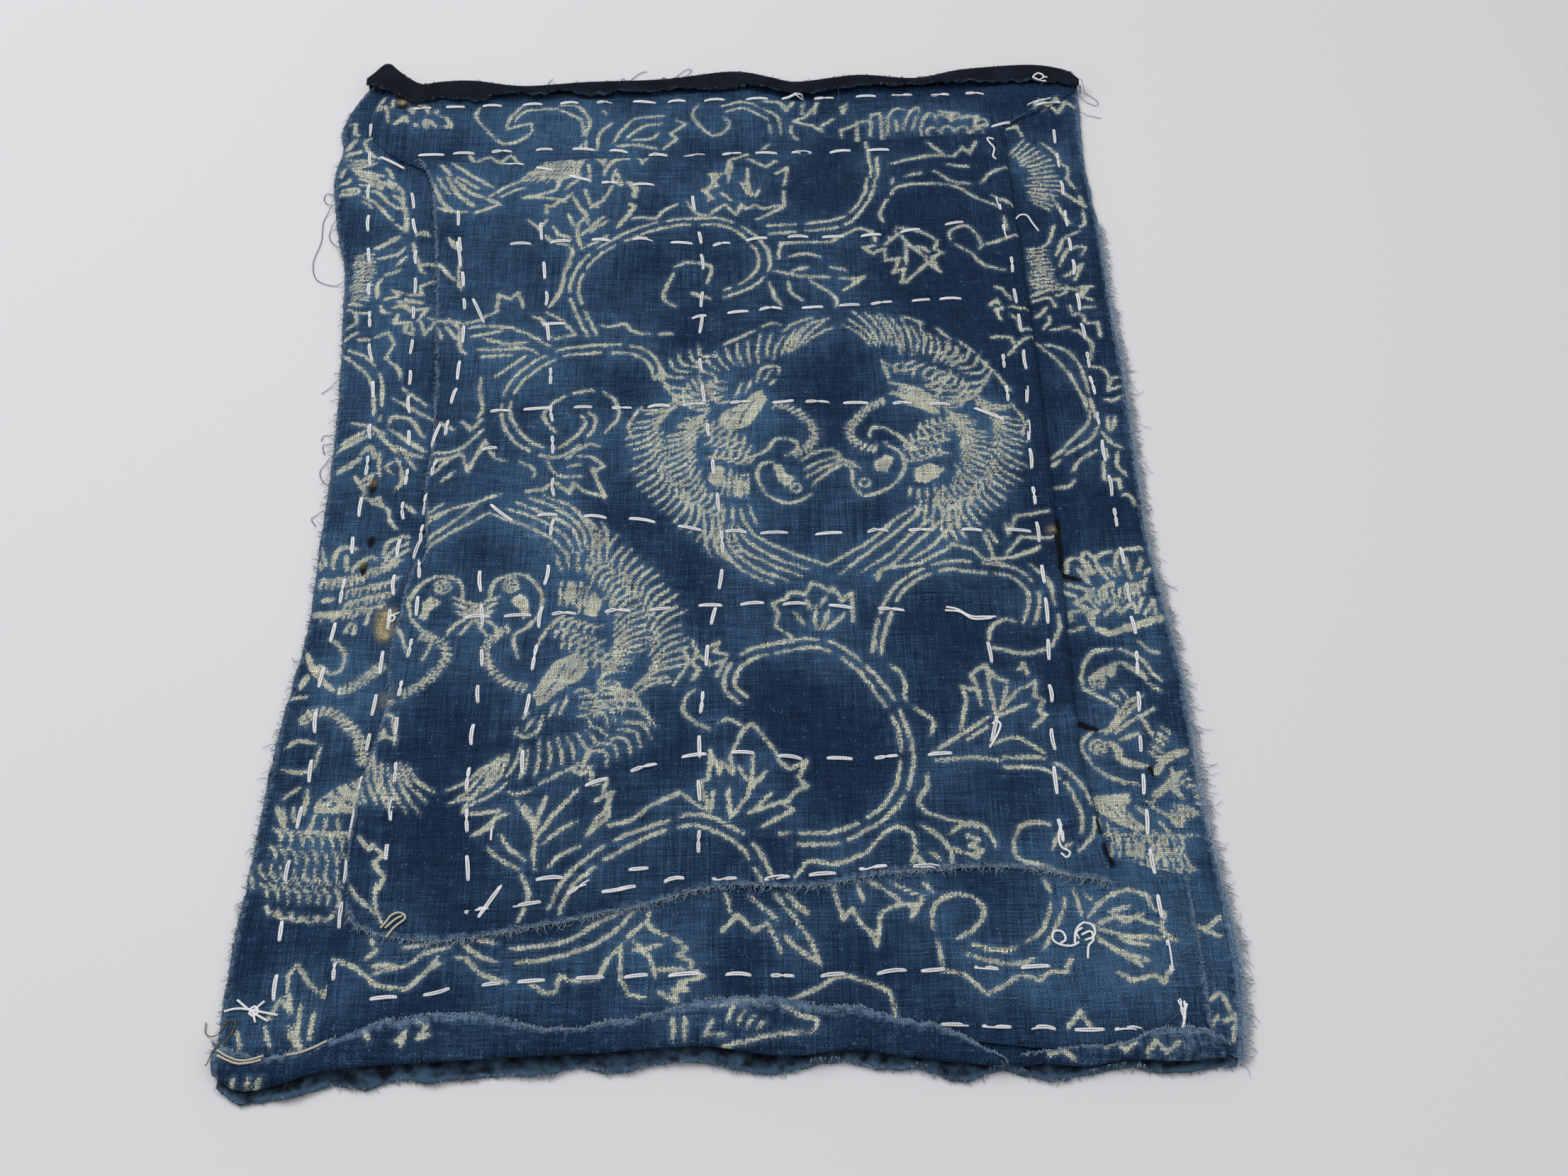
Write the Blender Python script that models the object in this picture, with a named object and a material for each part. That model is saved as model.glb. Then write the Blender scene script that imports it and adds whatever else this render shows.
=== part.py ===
"""A boro mending cloth, laid flat: a near-black backing, a dyed base cloth and three dyed patches.

Blender 4.5. Metres, +Z up, +Y towards the turned top edge, origin under the middle of the cloth.
Outlines are tables in millimetres, read in plan. A sheet is a mid-surface that Solidify thickens.
"""

import math

import bmesh
import bpy
from mathutils import Vector
from mathutils.geometry import delaunay_2d_cdt

MM = 0.001

# Driving dimensions, mm
THICK = 1.0  # each cloth
GAP = 0.4  # between one cloth and the next
LAYER = THICK + GAP
BACKING_Z = THICK / 2  # middle of the backing, flat on the surface
BASE_Z = BACKING_Z + LAYER
PATCH_Z = BASE_Z + LAYER
TOP_Z = PATCH_Z + LAYER
EDGE_STEP = 8.5  # between the points of an outline
GRID = 18.0  # between the points inside an outline
BACKING_GRID = 45.0
GRID_CLEAR = 6.5  # an inner point keeps this far from the outline
TUCK = 4.6  # the cloths inside the turned top edge stop this far below it
BACKING_INSET = 2.0  # the backing stops this far inside the base cloth's side edges
FOLD_STEPS = 5  # facets round a turned edge
FLAP_ROWS = 2
LEAST_FLAP = 1.6
SHIFT = (0.0, 1.6)  # brings the middle of the bounding box over the origin

# The quilting lets the upper cloths rise a little between the rows of stitches
PUFF = 1.2
PUFF_X, PUFF_Y = 74.0, 62.0
TIP_RISE, TIP_WIDE = 3.0, 11.0  # the turned edge stands up at its left end

# Outlines: x, y
TOP_EDGE = [(-157, 247), (-148, 240), (-140, 233), (-133, 236), (-115, 237), (-92, 233), (-60, 235),
            (-28, 237), (4, 241), (22, 237), (34, 234), (62, 238), (89, 235), (112, 241),
            (142, 243), (159, 239), (165, 233)]
BAND_EDGE = [(-158, 239), (-150, 230), (-141, 223), (-115, 224), (-60, 227), (-7, 228),
             (40, 228), (89, 230), (139, 232), (166, 227)]
RIGHT_EDGE = [(165, 233), (163, 184), (165, 140), (165, 92), (166, 46), (165, -25), (167, -57),
              (170, -94), (170, -145), (172, -174), (174, -207), (171, -236), (169, -243)]
BACKING_END = [(167, -243), (146, -245), (130, -243), (114, -248), (99, -245), (82, -248),
               (64, -243), (40, -239), (20, -244), (6, -242), (-8, -239), (-24, -241), (-45, -240),
               (-70, -242), (-95, -244), (-115, -245), (-138, -247), (-154, -250), (-163, -245)]
HEM_FOLD = [(-165, -238), (-152, -242), (-138, -240), (-122, -237), (-100, -235), (-72, -236),
            (-45, -235), (-8, -234), (20, -238), (42, -236), (62, -239), (92, -243)]
HEM_EDGE = [(-166, -230), (-150, -236), (-134, -233), (-112, -225), (-80, -223), (-58, -228),
            (-28, -225), (-6, -219), (18, -219), (48, -223), (70, -229), (86, -236), (93, -241)]
ROLL_FOLD = [(132, -241), (150, -242), (163, -241)]
ROLL_EDGE = [(131, -236), (146, -232), (164, -235)]
LEFT_EDGE = [(-165, -238), (-165, -195), (-163, -165), (-161, -117), (-156, -71), (-156, -30),
             (-156, 13), (-158, 57), (-161, 95), (-163, 118), (-169, 143), (-174, 174), (-172, 192),
             (-174, 206), (-171, 220), (-164, 235), (-158, 241)]

CENTRE_TOP = [(-137, 185), (-105, 182), (-70, 183), (-6, 186), (58, 192), (128, 198)]
CENTRE_RIGHT = [(128, 198), (128, 154), (129, 115), (130, 25), (129, -64), (128, -124), (131, -148),
                (134, -179)]
CENTRE_END = [(134, -179), (120, -176), (98, -172), (62, -173), (32, -178), (-2, -178), (-31, -185),
              (-71, -193), (-100, -196), (-122, -191), (-128, -182)]
CENTRE_LEFT = [(-128, -182), (-129, -158), (-127, -130), (-122, -103), (-123, -77), (-119, -45),
               (-114, -33), (-117, -2), (-116, 24), (-119, 68), (-122, 104), (-129, 165),
               (-137, 185)]
BAND_SIDES = [(164, 228), (150, 216), (131, 204), (120, 186), (58, 180), (-6, 174), (-70, 171),
              (-120, 172), (-142, 183), (-152, 191), (-161, 205), (-160, 222), (-156, 233)]
LOWER_SIDES = [(160, -176), (161, -216), (160, -236), (146, -236), (128, -237), (111, -237),
               (97, -236), (79, -234), (62, -234), (42, -232), (20, -233), (-8, -230), (-45, -231),
               (-72, -232), (-100, -231), (-124, -232), (-131, -233), (-131, -206), (-129, -172)]
LOWER_TOP = [(-129, -172), (-90, -180), (-31, -172), (32, -165), (98, -160), (160, -176)]

# Colours, roughness
INDIGO = (0.035, 0.085, 0.18, 1)
DARK_INDIGO = (0.008, 0.014, 0.03, 1)
CLOTH_ROUGH = 0.9


def clear_scene():
    for thing in list(bpy.data.objects):
        bpy.data.objects.remove(thing, do_unlink=True)


def puff(x, y):
    """How far the quilted layers rise here, mm."""
    across = math.sin(2 * math.pi * x / PUFF_X + 0.8)
    along = math.sin(2 * math.pi * y / PUFF_Y + x / 90)
    return PUFF * (0.5 + 0.25 * across + 0.25 * along)


def tip(x):
    """The extra rise of the turned top edge at its left end, mm."""
    return TIP_RISE * math.exp(-(((x - TOP_EDGE[0][0]) / TIP_WIDE) ** 2))


def smooth(points):
    """A Catmull-Rom curve through the points, about EDGE_STEP apart, without its last point."""
    out = []
    for i in range(len(points) - 1):
        a, b = Vector(points[i]), Vector(points[i + 1])
        before = Vector(points[i - 1]) if i else a
        after = Vector(points[i + 2]) if i + 2 < len(points) else b
        steps = max(1, round((b - a).length / EDGE_STEP))
        for k in range(steps):
            t = k / steps
            pull = (b - before) * t + (2 * before - 5 * a + 4 * b - after) * t**2
            pull += (3 * a - before - 3 * b + after) * t**3
            out.append(a + pull / 2)
    return out


def height_at(table, x):
    """y of an edge at x, straight between the table's rows."""
    rows = sorted(table)
    if x <= rows[0][0]:
        return rows[0][1]
    for (x0, y0), (x1, y1) in zip(rows, rows[1:]):
        if x <= x1:
            return y0 + (y1 - y0) * (x - x0) / (x1 - x0)
    return rows[-1][1]


def moved(points, dx=0.0, dy=0.0):
    return [(x + dx, y + dy) for x, y in points]


def inside(point, outline):
    """True where the point is in the outline and clear of its edge."""
    odd = False
    for a, b in zip(outline, outline[1:] + outline[:1]):
        along = b - a
        t = max(0.0, min(1.0, (point - a).dot(along) / max(along.length_squared, 1e-9)))
        if (point - a - along * t).length < GRID_CLEAR:
            return False
        if (a.y > point.y) != (b.y > point.y):
            odd ^= point.x < a.x + along.x * (point.y - a.y) / along.y
    return odd


def lattice(outline, grid):
    """Points inside the outline, on one triangular grid that every cloth shares."""
    row = grid * math.sqrt(3) / 2
    reach = 260.0
    out = []
    for j in range(-int(reach / row), int(reach / row) + 1):
        for i in range(-int(reach / grid), int(reach / grid) + 1):
            point = Vector(((i + 0.5 * (j % 2)) * grid, j * row))
            if inside(point, outline):
                out.append(point)
    return out


def material(name, colour):
    made = bpy.data.materials.new(name)
    made.use_nodes = True
    shader = made.node_tree.nodes["Principled BSDF"]
    shader.inputs["Base Color"].default_value = colour
    shader.inputs["Roughness"].default_value = CLOTH_ROUGH
    return made


def sheet(name, sides, height, colour, grid=GRID, turned=()):
    """A cloth inside the sides, at height(x, y) mm, with the turned edges that a table gives.

    turned: rows of (number of the side, outward sign in y, edge table, height of the flap).
    """
    curves = [smooth(side) for side in sides]
    outline = [point for curve in curves for point in curve]
    flat = outline + lattice(outline, grid)
    found = delaunay_2d_cdt(flat, [], [list(range(len(outline)))], 1, 1e-5)
    shape = bmesh.new()
    for point in found[0]:
        shape.verts.new((point.x, point.y, height(point.x, point.y)))
    shape.verts.ensure_lookup_table()
    for face in found[2]:
        shape.faces.new([shape.verts[i] for i in face])
    starts = [sum(len(curve) for curve in curves[:n]) for n in range(len(curves) + 1)]
    for side, outward, edge, flap in turned:
        rim = list(shape.verts)[starts[side] : starts[side + 1] + 1]
        turn_edge(shape, rim, outward, edge, flap)
    bmesh.ops.recalc_face_normals(shape, faces=shape.faces)
    mesh = bpy.data.meshes.new(name)
    for vert in shape.verts:
        vert.co = (vert.co + Vector((*SHIFT, 0))) * MM
    shape.to_mesh(mesh)
    shape.free()
    cloth = bpy.data.objects.new(name, mesh)
    bpy.context.collection.objects.link(cloth)
    cloth.data.materials.append(material(name, colour))
    wall = cloth.modifiers.new("thickness", "SOLIDIFY")
    wall.thickness = THICK * MM
    wall.offset = 0
    wall.use_even_offset = True
    return cloth


def turn_edge(shape, rim, outward, edge, flap):
    """Carries the rim round a half circle and back over the cloth, as far as the edge table."""
    rows = [rim]
    for k in range(1, FOLD_STEPS + 1):
        angle = math.pi * k / FOLD_STEPS
        row = []
        for vert in rim:
            x, y, z = vert.co
            radius = (flap(x, y) - z) / 2
            out = y + outward * radius * math.sin(angle)
            row.append(shape.verts.new((x, out, z + radius * (1 - math.cos(angle)))))
        rows.append(row)
    for k in range(1, FLAP_ROWS + 1):
        row = []
        for vert in rim:
            x, y, _ = vert.co
            width = max(LEAST_FLAP, outward * (y - height_at(edge, x)))
            back = y - outward * width * k / FLAP_ROWS
            row.append(shape.verts.new((x, back, flap(x, back))))
        rows.append(row)
    for low, high in zip(rows, rows[1:]):
        for i in range(len(rim) - 1):
            shape.faces.new((low[i], low[i + 1], high[i + 1], high[i]))


def fold_line(edge, flap, z, outward):
    """The rim behind a turned edge whose outermost line is the edge table."""
    out = []
    for x, y in edge:
        radius = (flap(x, y) - z(x, y)) / 2
        out.append((x, y - outward * (radius + THICK / 2)))
    return out


def base_z(x, y):
    return BASE_Z + puff(x, y)


def patch_z(x, y):
    return PATCH_Z + puff(x, y)


def top_z(x, y):
    return TOP_Z + puff(x, y)


def backing_z(_x, _y):
    return BACKING_Z


def band_z(x, y):
    return top_z(x, y) + tip(x)


clear_scene()

# Backing: the lowest cloth, near black, raw at the foot and turned over the front at the top
top_rim = fold_line(TOP_EDGE, band_z, backing_z, 1)
left_in = moved(LEFT_EDGE[:-1], dx=BACKING_INSET)
right_in = moved(RIGHT_EDGE[1:-1], dx=-BACKING_INSET)
sheet("backing_cloth",
      [top_rim, [top_rim[-1]] + right_in + BACKING_END[:1], BACKING_END,
       BACKING_END[-1:] + left_in + top_rim[:1]],
      backing_z, DARK_INDIGO, grid=BACKING_GRID, turned=[(0, 1, BAND_EDGE, band_z)])

# Base cloth: shows at both sides, its foot turned up in a raw hem, with a short roll at the right
hem = fold_line(HEM_FOLD[1:], top_z, base_z, -1)
roll = fold_line(ROLL_FOLD, top_z, base_z, -1)
base_top = moved(TOP_EDGE, dy=-TUCK)
sheet("base_cloth",
      [base_top, [base_top[-1]] + RIGHT_EDGE[1:], RIGHT_EDGE[-1:] + roll[-1:], roll[::-1],
       [roll[0], (118, -243), (104, -242), hem[-1]], hem[::-1],
       [hem[0]] + LEFT_EDGE[:-1] + base_top[:1]],
      base_z, INDIGO, turned=[(3, -1, ROLL_EDGE, top_z), (5, -1, HEM_EDGE, top_z)])

# Band along the top, under the turned edge and the centre cloth
band_top = moved(TOP_EDGE[1:-1], dy=-TUCK)
sheet("top_band", [BAND_SIDES[-1:] + band_top + BAND_SIDES[:1], BAND_SIDES], patch_z, INDIGO)

# Band along the foot, its upper edge under the centre cloth and its raw edge in the hem
sheet("lower_band", [LOWER_TOP, LOWER_SIDES], patch_z, INDIGO)

# Centre cloth, on top of the others
sheet("centre_cloth", [CENTRE_TOP, CENTRE_RIGHT, CENTRE_END, CENTRE_LEFT], top_z, INDIGO)
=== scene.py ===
"""The looks of a boro mending cloth: five cloths, their print, running stitches, knots and fray.

Blender 4.5. Plan points are millimetres on the cloth, x to the right and y to the turned top edge.
The scene is in metres, and SHIFT carries the plan onto the part.
"""

import math
import random

import bpy
import numpy as np
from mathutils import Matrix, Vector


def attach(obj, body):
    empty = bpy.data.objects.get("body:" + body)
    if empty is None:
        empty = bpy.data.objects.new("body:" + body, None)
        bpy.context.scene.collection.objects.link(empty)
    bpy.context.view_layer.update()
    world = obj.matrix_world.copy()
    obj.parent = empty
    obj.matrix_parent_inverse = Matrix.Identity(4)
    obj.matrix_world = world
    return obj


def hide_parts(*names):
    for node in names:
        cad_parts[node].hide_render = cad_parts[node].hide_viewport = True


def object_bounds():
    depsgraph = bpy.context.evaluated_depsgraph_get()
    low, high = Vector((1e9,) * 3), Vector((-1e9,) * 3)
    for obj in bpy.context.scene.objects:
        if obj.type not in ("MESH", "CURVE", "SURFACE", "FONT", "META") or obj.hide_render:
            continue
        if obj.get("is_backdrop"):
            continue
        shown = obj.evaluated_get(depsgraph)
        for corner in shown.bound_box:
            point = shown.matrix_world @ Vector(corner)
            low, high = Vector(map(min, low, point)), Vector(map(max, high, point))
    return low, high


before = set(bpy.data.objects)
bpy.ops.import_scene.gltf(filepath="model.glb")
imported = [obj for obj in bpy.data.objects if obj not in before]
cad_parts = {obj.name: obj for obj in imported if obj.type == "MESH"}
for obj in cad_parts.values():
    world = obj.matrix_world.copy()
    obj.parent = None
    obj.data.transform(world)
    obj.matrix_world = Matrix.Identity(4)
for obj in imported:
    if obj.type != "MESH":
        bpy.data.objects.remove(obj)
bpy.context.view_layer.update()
bpy.ops.object.select_all(action="DESELECT")

# Backing cloth
# The lowest layer, near-black handspun cotton as large as the whole mend. Its top edge is turned
# over the front as a narrow dark band with a raised left tip, and its foot is torn and left raw.

MM = 0.001
SHIFT = 1.6
BACKING_Z = 0.42
BACKING_THICK = 0.8
BAND_Z = 5.3
PUFF = 1.2
PUFF_X, PUFF_Y = 74.0, 62.0
TIP_RISE, TIP_WIDE = 1.6, 11.0
TOP_EDGE = [(-165, 238), (-161, 242.5), (-156.5, 248), (-152, 243.5), (-146, 238), (-139, 234),
            (-131, 236), (-115, 237), (-92, 233), (-60, 235), (-28, 237), (4, 241), (22, 237),
            (34, 234), (62, 238), (89, 235), (112, 241), (142, 243), (159, 239), (165, 233)]
BAND_EDGE = [(-165, 233), (-158, 231), (-150, 226), (-141, 221), (-128, 224), (-115, 223), (-100, 227),
             (-88, 226), (-72, 228), (-60, 225), (-46, 228), (-34, 227), (-20, 230), (-7, 228), (16, 230),
             (28, 226), (40, 226), (64, 230), (89, 229), (114, 232), (139, 231), (154, 229), (166, 226)]
RIGHT_EDGE = [(169, -243), (171, -236), (174, -207), (172, -174), (170, -145), (170, -94), (167, -57),
              (165, -25), (166, 46), (165, 92), (165, 140), (163, 184), (165, 233)]
LEFT_EDGE = [(-165, -238), (-165, -195), (-163, -165), (-161, -117), (-156, -71), (-156, -30),
             (-156, 13), (-158, 57), (-161, 95), (-163, 118), (-169, 143), (-174, 174), (-172, 192),
             (-174, 206), (-171, 220), (-164, 235), (-158, 241)]
BACKING_END = [(-163, -245), (-154, -250), (-138, -248), (-126, -244.5), (-115, -246), (-104, -243),
               (-95, -244), (-70, -242), (-57, -242.5), (-45, -240), (-34, -242), (-24, -240), (-8, -239),
               (6, -242), (20, -243), (30, -240), (40, -239.5), (52, -242), (64, -242), (74, -246),
               (82, -246), (90, -243), (99, -245), (108, -247), (119, -245), (130, -243), (146, -245),
               (167, -243)]


def smooth_line(points, step):
    """Points step mm apart along a Catmull-Rom curve through the given ones."""
    knots = np.array(points, float)
    knots = np.vstack([2 * knots[0] - knots[1], knots, 2 * knots[-1] - knots[-2]])
    t = np.linspace(0, 1, 12, endpoint=False)[:, None]
    parts = []
    for a, b, c, d in zip(knots, knots[1:], knots[2:], knots[3:]):
        parts.append(b + t / 2 * (c - a + t * (2 * a - 5 * b + 4 * c - d + t * (3 * (b - c) + d - a))))
    line = np.vstack(parts + [knots[-2:-1]])
    run = np.append(0, np.cumsum(np.linalg.norm(np.diff(line, axis=0), axis=1)))
    at = np.linspace(0, run[-1], max(2, round(run[-1] / step) + 1))
    return np.stack([np.interp(at, run, line[:, k]) for k in range(line.shape[1])], axis=1)


def cloudy(x, y, size, seed):
    """A smooth random field from -1 to 1, its patches about size mm wide."""
    table = np.random.default_rng(seed).uniform(-1, 1, (64, 64))
    u, v = np.asarray(x) / size + 500.3, np.asarray(y) / size + 500.7
    i, j = np.floor(u).astype(int), np.floor(v).astype(int)
    fu, fv = u - i, v - j
    fu, fv = fu * fu * (3 - 2 * fu), fv * fv * (3 - 2 * fv)
    low = table[j % 64, i % 64] * (1 - fu) + table[j % 64, (i + 1) % 64] * fu
    high = table[(j + 1) % 64, i % 64] * (1 - fu) + table[(j + 1) % 64, (i + 1) % 64] * fu
    return low * (1 - fv) + high * fv


def raw_edge(points, rough, seed):
    """The edge as a torn one: pushed about by up to rough mm, in teeth and in longer waves."""
    line = smooth_line(points, 1.2)
    across = np.gradient(line, axis=0)
    across = np.stack([-across[:, 1], across[:, 0]], axis=1)
    across /= np.maximum(np.linalg.norm(across, axis=1, keepdims=True), 1e-9)
    x, y = line.T
    push = rough * (0.6 * cloudy(x, y, 2.2, seed) + 0.4 * cloudy(x, y, 9.0, seed + 1))
    fade = np.minimum(1, np.minimum(np.arange(len(line)), np.arange(len(line))[::-1]) / 4)
    return line + across * (push * fade)[:, None]


def along(line, fractions):
    """Points at the given fractions of a line's length."""
    line = np.asarray(line, float)
    run = np.append(0, np.cumsum(np.linalg.norm(np.diff(line, axis=0), axis=1)))
    return np.stack([np.interp(np.asarray(fractions) * run[-1], run, line[:, k]) for k in (0, 1)], axis=1)


def spread(foot, top, left, right, across, up):
    """Plan points of a cloth between its four edges, row by row from the foot to the top."""
    u, v = np.meshgrid(across, up)
    u, v = u[..., None], v[..., None]
    low, high = along(foot, across)[None], along(top, across)[None]
    west, east = along(left, up)[:, None], along(right, up)[:, None]
    corners = (1 - v) * ((1 - u) * low[:, :1] + u * low[:, -1:])
    corners = corners + v * ((1 - u) * high[:, :1] + u * high[:, -1:])
    return (1 - v) * low + v * high + (1 - u) * west + u * east - corners


def graded(length, spans, coarse):
    """Fractions of a length, fine inside the spans (from, to, step) in mm and coarse between them."""
    marks = []
    here = 0.0
    for start, end, step in spans:
        if start > here:
            marks += list(np.linspace(here, start, max(1, round((start - here) / coarse)), endpoint=False))
        marks += list(np.linspace(start, end, max(1, round((end - start) / step)), endpoint=False))
        here = end
    if here < length:
        marks += list(np.linspace(here, length, max(1, round((length - here) / coarse)), endpoint=False))
    return np.array(marks + [length]) / length


# The highest cloth so far on each square millimetre of the plan, mm, and the cell of the plan's origin.
TOP_ROWS, TOP_COLUMNS = 530, 380
TOP_ORIGIN = (190, 265)
TOP = np.zeros((TOP_ROWS, TOP_COLUMNS))


class Weaving:
    """A cloth's mesh while it is made: points in plan mm, rows of them, and faces between the rows."""

    def __init__(self):
        self.points = []
        self.facts = []
        self.faces = []
        self.count = 0

    def row(self, points, columns, turned=0.0):
        """Adds a row and gives it back as (column numbers, point numbers)."""
        self.points.append(np.asarray(points, float))
        self.facts.append(np.full(len(points), turned))
        numbers = np.arange(self.count, self.count + len(points))
        self.count += len(points)
        return np.asarray(columns), numbers

    def knit(self, low, high):
        """Faces between two rows. One of them may skip columns that the other has."""
        (low_at, low_no), (high_at, high_no) = low, high
        if len(low_at) == len(high_at):
            step = np.diff(low_at) <= np.median(np.diff(low_at)) * 40
            self.faces += np.stack([low_no[:-1], low_no[1:], high_no[1:], high_no[:-1]], 1)[step].tolist()
            return
        for a, b in zip(low_at[:-1], low_at[1:]):
            under = low_no[(low_at >= a) & (low_at <= b)]
            over = high_no[(high_at >= a) & (high_at <= b)]
            if len(low_at) < len(high_at):
                self.faces.append(under.tolist() + over[::-1].tolist())
        for a, b in zip(high_at[:-1], high_at[1:]):
            if len(high_at) < len(low_at):
                under = low_no[(low_at >= a) & (low_at <= b)]
                over = high_no[(high_at >= a) & (high_at <= b)]
                self.faces.append(under.tolist() + over[::-1].tolist())

    def make(self, name, material):
        """The finished mesh object, in metres on the part."""
        points = np.vstack(self.points)
        mesh = bpy.data.meshes.new(name)
        mesh.from_pydata(((points + (0, SHIFT, 0)) * MM).tolist(), [], self.faces)
        mesh.polygons.foreach_set("use_smooth", np.ones(len(mesh.polygons), bool))
        cloth = bpy.data.objects.new(name, mesh)
        bpy.context.collection.objects.link(cloth)
        mesh.materials.append(material)
        self.points = [points]
        at = np.round(points[:, :2]).astype(int) + TOP_ORIGIN
        np.maximum.at(TOP, (at[:, 1], at[:, 0]), points[:, 2])
        return cloth

    def note(self, cloth, name, values):
        """Keeps one number for each point of the cloth as an attribute of that name."""
        fact = cloth.data.attributes.new(name, "FLOAT", "POINT")
        fact.data.foreach_set("value", np.asarray(values, np.float32))


def puff(x, y):
    """How far the quilted layers rise here between the rows of stitches, mm."""
    across = np.sin(2 * np.pi * x / PUFF_X + 0.8)
    lengthways = np.sin(2 * np.pi * y / PUFF_Y + x / 90)
    return PUFF * (0.5 + 0.25 * across + 0.25 * lengthways)


def level(table, x):
    """y of an edge table at x."""
    rows = np.array(sorted(table), float)
    return np.interp(x, rows[:, 0], rows[:, 1])


def ease(x, start, end):
    """0 before start, 1 after end and a smooth step between them."""
    t = np.clip((np.asarray(x) - start) / (end - start), 0, 1)
    return t * t * (3 - 2 * t)


def wired(tree, kind, *terms, out=0, **settings):
    """A node with its settings, its inputs in order from numbers or sockets, and one of its outputs."""
    node = tree.nodes.new(kind)
    for name, setting in settings.items():
        setattr(node, name, setting)
    for socket, term in zip(node.inputs, terms):
        if isinstance(term, bpy.types.NodeSocket):
            tree.links.new(term, socket)
        elif term is not None:
            socket.default_value = term
    return node.outputs[out]


def sum_of(tree, operation, *terms):
    """A math node."""
    return wired(tree, "ShaderNodeMath", *terms, operation=operation)


def step_of(tree, value, low, high, start=0.0, end=1.0):
    """A smooth step from start at low to end at high."""
    return wired(tree, "ShaderNodeMapRange", value, low, high, start, end,
                 interpolation_type="SMOOTHSTEP")


def noise_of(tree, vector, scale, detail=2.0, rough=0.5):
    """A noise texture's value at that scale, per metre."""
    return wired(tree, "ShaderNodeTexNoise", vector, None, scale, detail, rough)


def stretched(tree, vector, x, y, z=0.0):
    """The vector times x, y and z."""
    return wired(tree, "ShaderNodeVectorMath", vector, (x, y, z), operation="MULTIPLY")


def mixed(tree, factor, low, high, blend="MIX"):
    """A colour between low and high."""
    node = tree.nodes.new("ShaderNodeMix")
    node.data_type = "RGBA"
    node.blend_type = blend
    for number, term in ((0, factor), (6, low), (7, high)):
        if isinstance(term, bpy.types.NodeSocket):
            tree.links.new(term, node.inputs[number])
        else:
            node.inputs[number].default_value = term
    return node.outputs[2]


def new_group(name, ins, outs):
    """An empty node group with the named inputs (name, kind, value) and outputs (name, kind)."""
    group = bpy.data.node_groups.new(name, "ShaderNodeTree")
    for title, kind, value in ins:
        socket = group.interface.new_socket(title, in_out="INPUT", socket_type="NodeSocket" + kind)
        if value is not None:
            socket.default_value = value
    for title, kind in outs:
        group.interface.new_socket(title, in_out="OUTPUT", socket_type="NodeSocket" + kind)
    start = group.nodes.new("NodeGroupInput")
    end = group.nodes.new("NodeGroupOutput")
    return group, start.outputs, end.inputs


def plain_weave():
    """The group for a plain weave of uneven handspun threads, seen from its object coordinates."""
    group, given, out = new_group("plain weave",
                                  [("Vector", "Vector", None), ("Threads", "Float", 1400.0)],
                                  [("Height", "Float"), ("Tone", "Float"), ("Cell", "Float"),
                                   ("Gap", "Float")])
    sway = wired(group, "ShaderNodeTexNoise", given[0], None, 55.0, 2.0, 0.5, out=1)
    sway = wired(group, "ShaderNodeVectorMath", sway, (0.5, 0.5, 0.5), operation="SUBTRACT")
    sway = stretched(group, sway, 0.0035, 0.0035)
    cloth = wired(group, "ShaderNodeVectorMath", given[0], sway, operation="ADD")
    cloth = wired(group, "ShaderNodeVectorMath", cloth, None, None, given[1], operation="SCALE")
    group.links.new(given[1], cloth.node.inputs["Scale"])
    parts = wired(group, "ShaderNodeSeparateXYZ", cloth).node.outputs
    profile, thread = [], []
    for part in parts[:2]:
        inside = sum_of(group, "FRACT", part)
        inside = sum_of(group, "MULTIPLY_ADD", inside, 2.0, -1.0)
        profile.append(sum_of(group, "SUBTRACT", 1.0, sum_of(group, "MULTIPLY", inside, inside)))
        thread.append(sum_of(group, "FLOOR", part))
    over = sum_of(group, "FLOORED_MODULO", sum_of(group, "ADD", *thread), 2.0)
    warp = sum_of(group, "MULTIPLY", profile[0], sum_of(group, "MULTIPLY_ADD", profile[1], 0.45, 0.55))
    weft = sum_of(group, "MULTIPLY", profile[1], sum_of(group, "MULTIPLY_ADD", profile[0], 0.45, 0.55))
    height = wired(group, "ShaderNodeMix", over, None, warp, weft)
    group.links.new(height, out["Height"])
    tones = []
    for number, run in ((0, 1), (1, 0)):
        place = wired(group, "ShaderNodeCombineXYZ",
                      sum_of(group, "MULTIPLY", thread[number], 1.7),
                      sum_of(group, "MULTIPLY", parts[run], 0.07), 3.1 * number)
        tones.append(noise_of(group, place, 1.0, 1.0))
    tone = wired(group, "ShaderNodeMix", over, None, tones[0], tones[1])
    group.links.new(tone, out["Tone"])
    cell = wired(group, "ShaderNodeCombineXYZ", thread[0], thread[1], 0.0)
    cell = wired(group, "ShaderNodeTexWhiteNoise", cell, noise_dimensions="2D")
    group.links.new(cell, out["Cell"])
    group.links.new(step_of(group, height, 0.22, 0.04), out["Gap"])
    return group


def new_cloth_material(name, rough):
    """A material with a weave group wired to its object coordinates. Gives (material, tree, shader,
    vector, outputs of the weave)."""
    made = bpy.data.materials.new(name)
    made.use_nodes = True
    tree = made.node_tree
    shader = tree.nodes["Principled BSDF"]
    shader.inputs["Roughness"].default_value = rough
    shader.inputs["Specular IOR Level"].default_value = 0.15
    vector = wired(tree, "ShaderNodeTexCoord", out=3)
    weave = tree.nodes.new("ShaderNodeGroup")
    weave.node_tree = WEAVE
    tree.links.new(vector, weave.inputs["Vector"])
    return made, tree, shader, vector, weave


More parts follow.
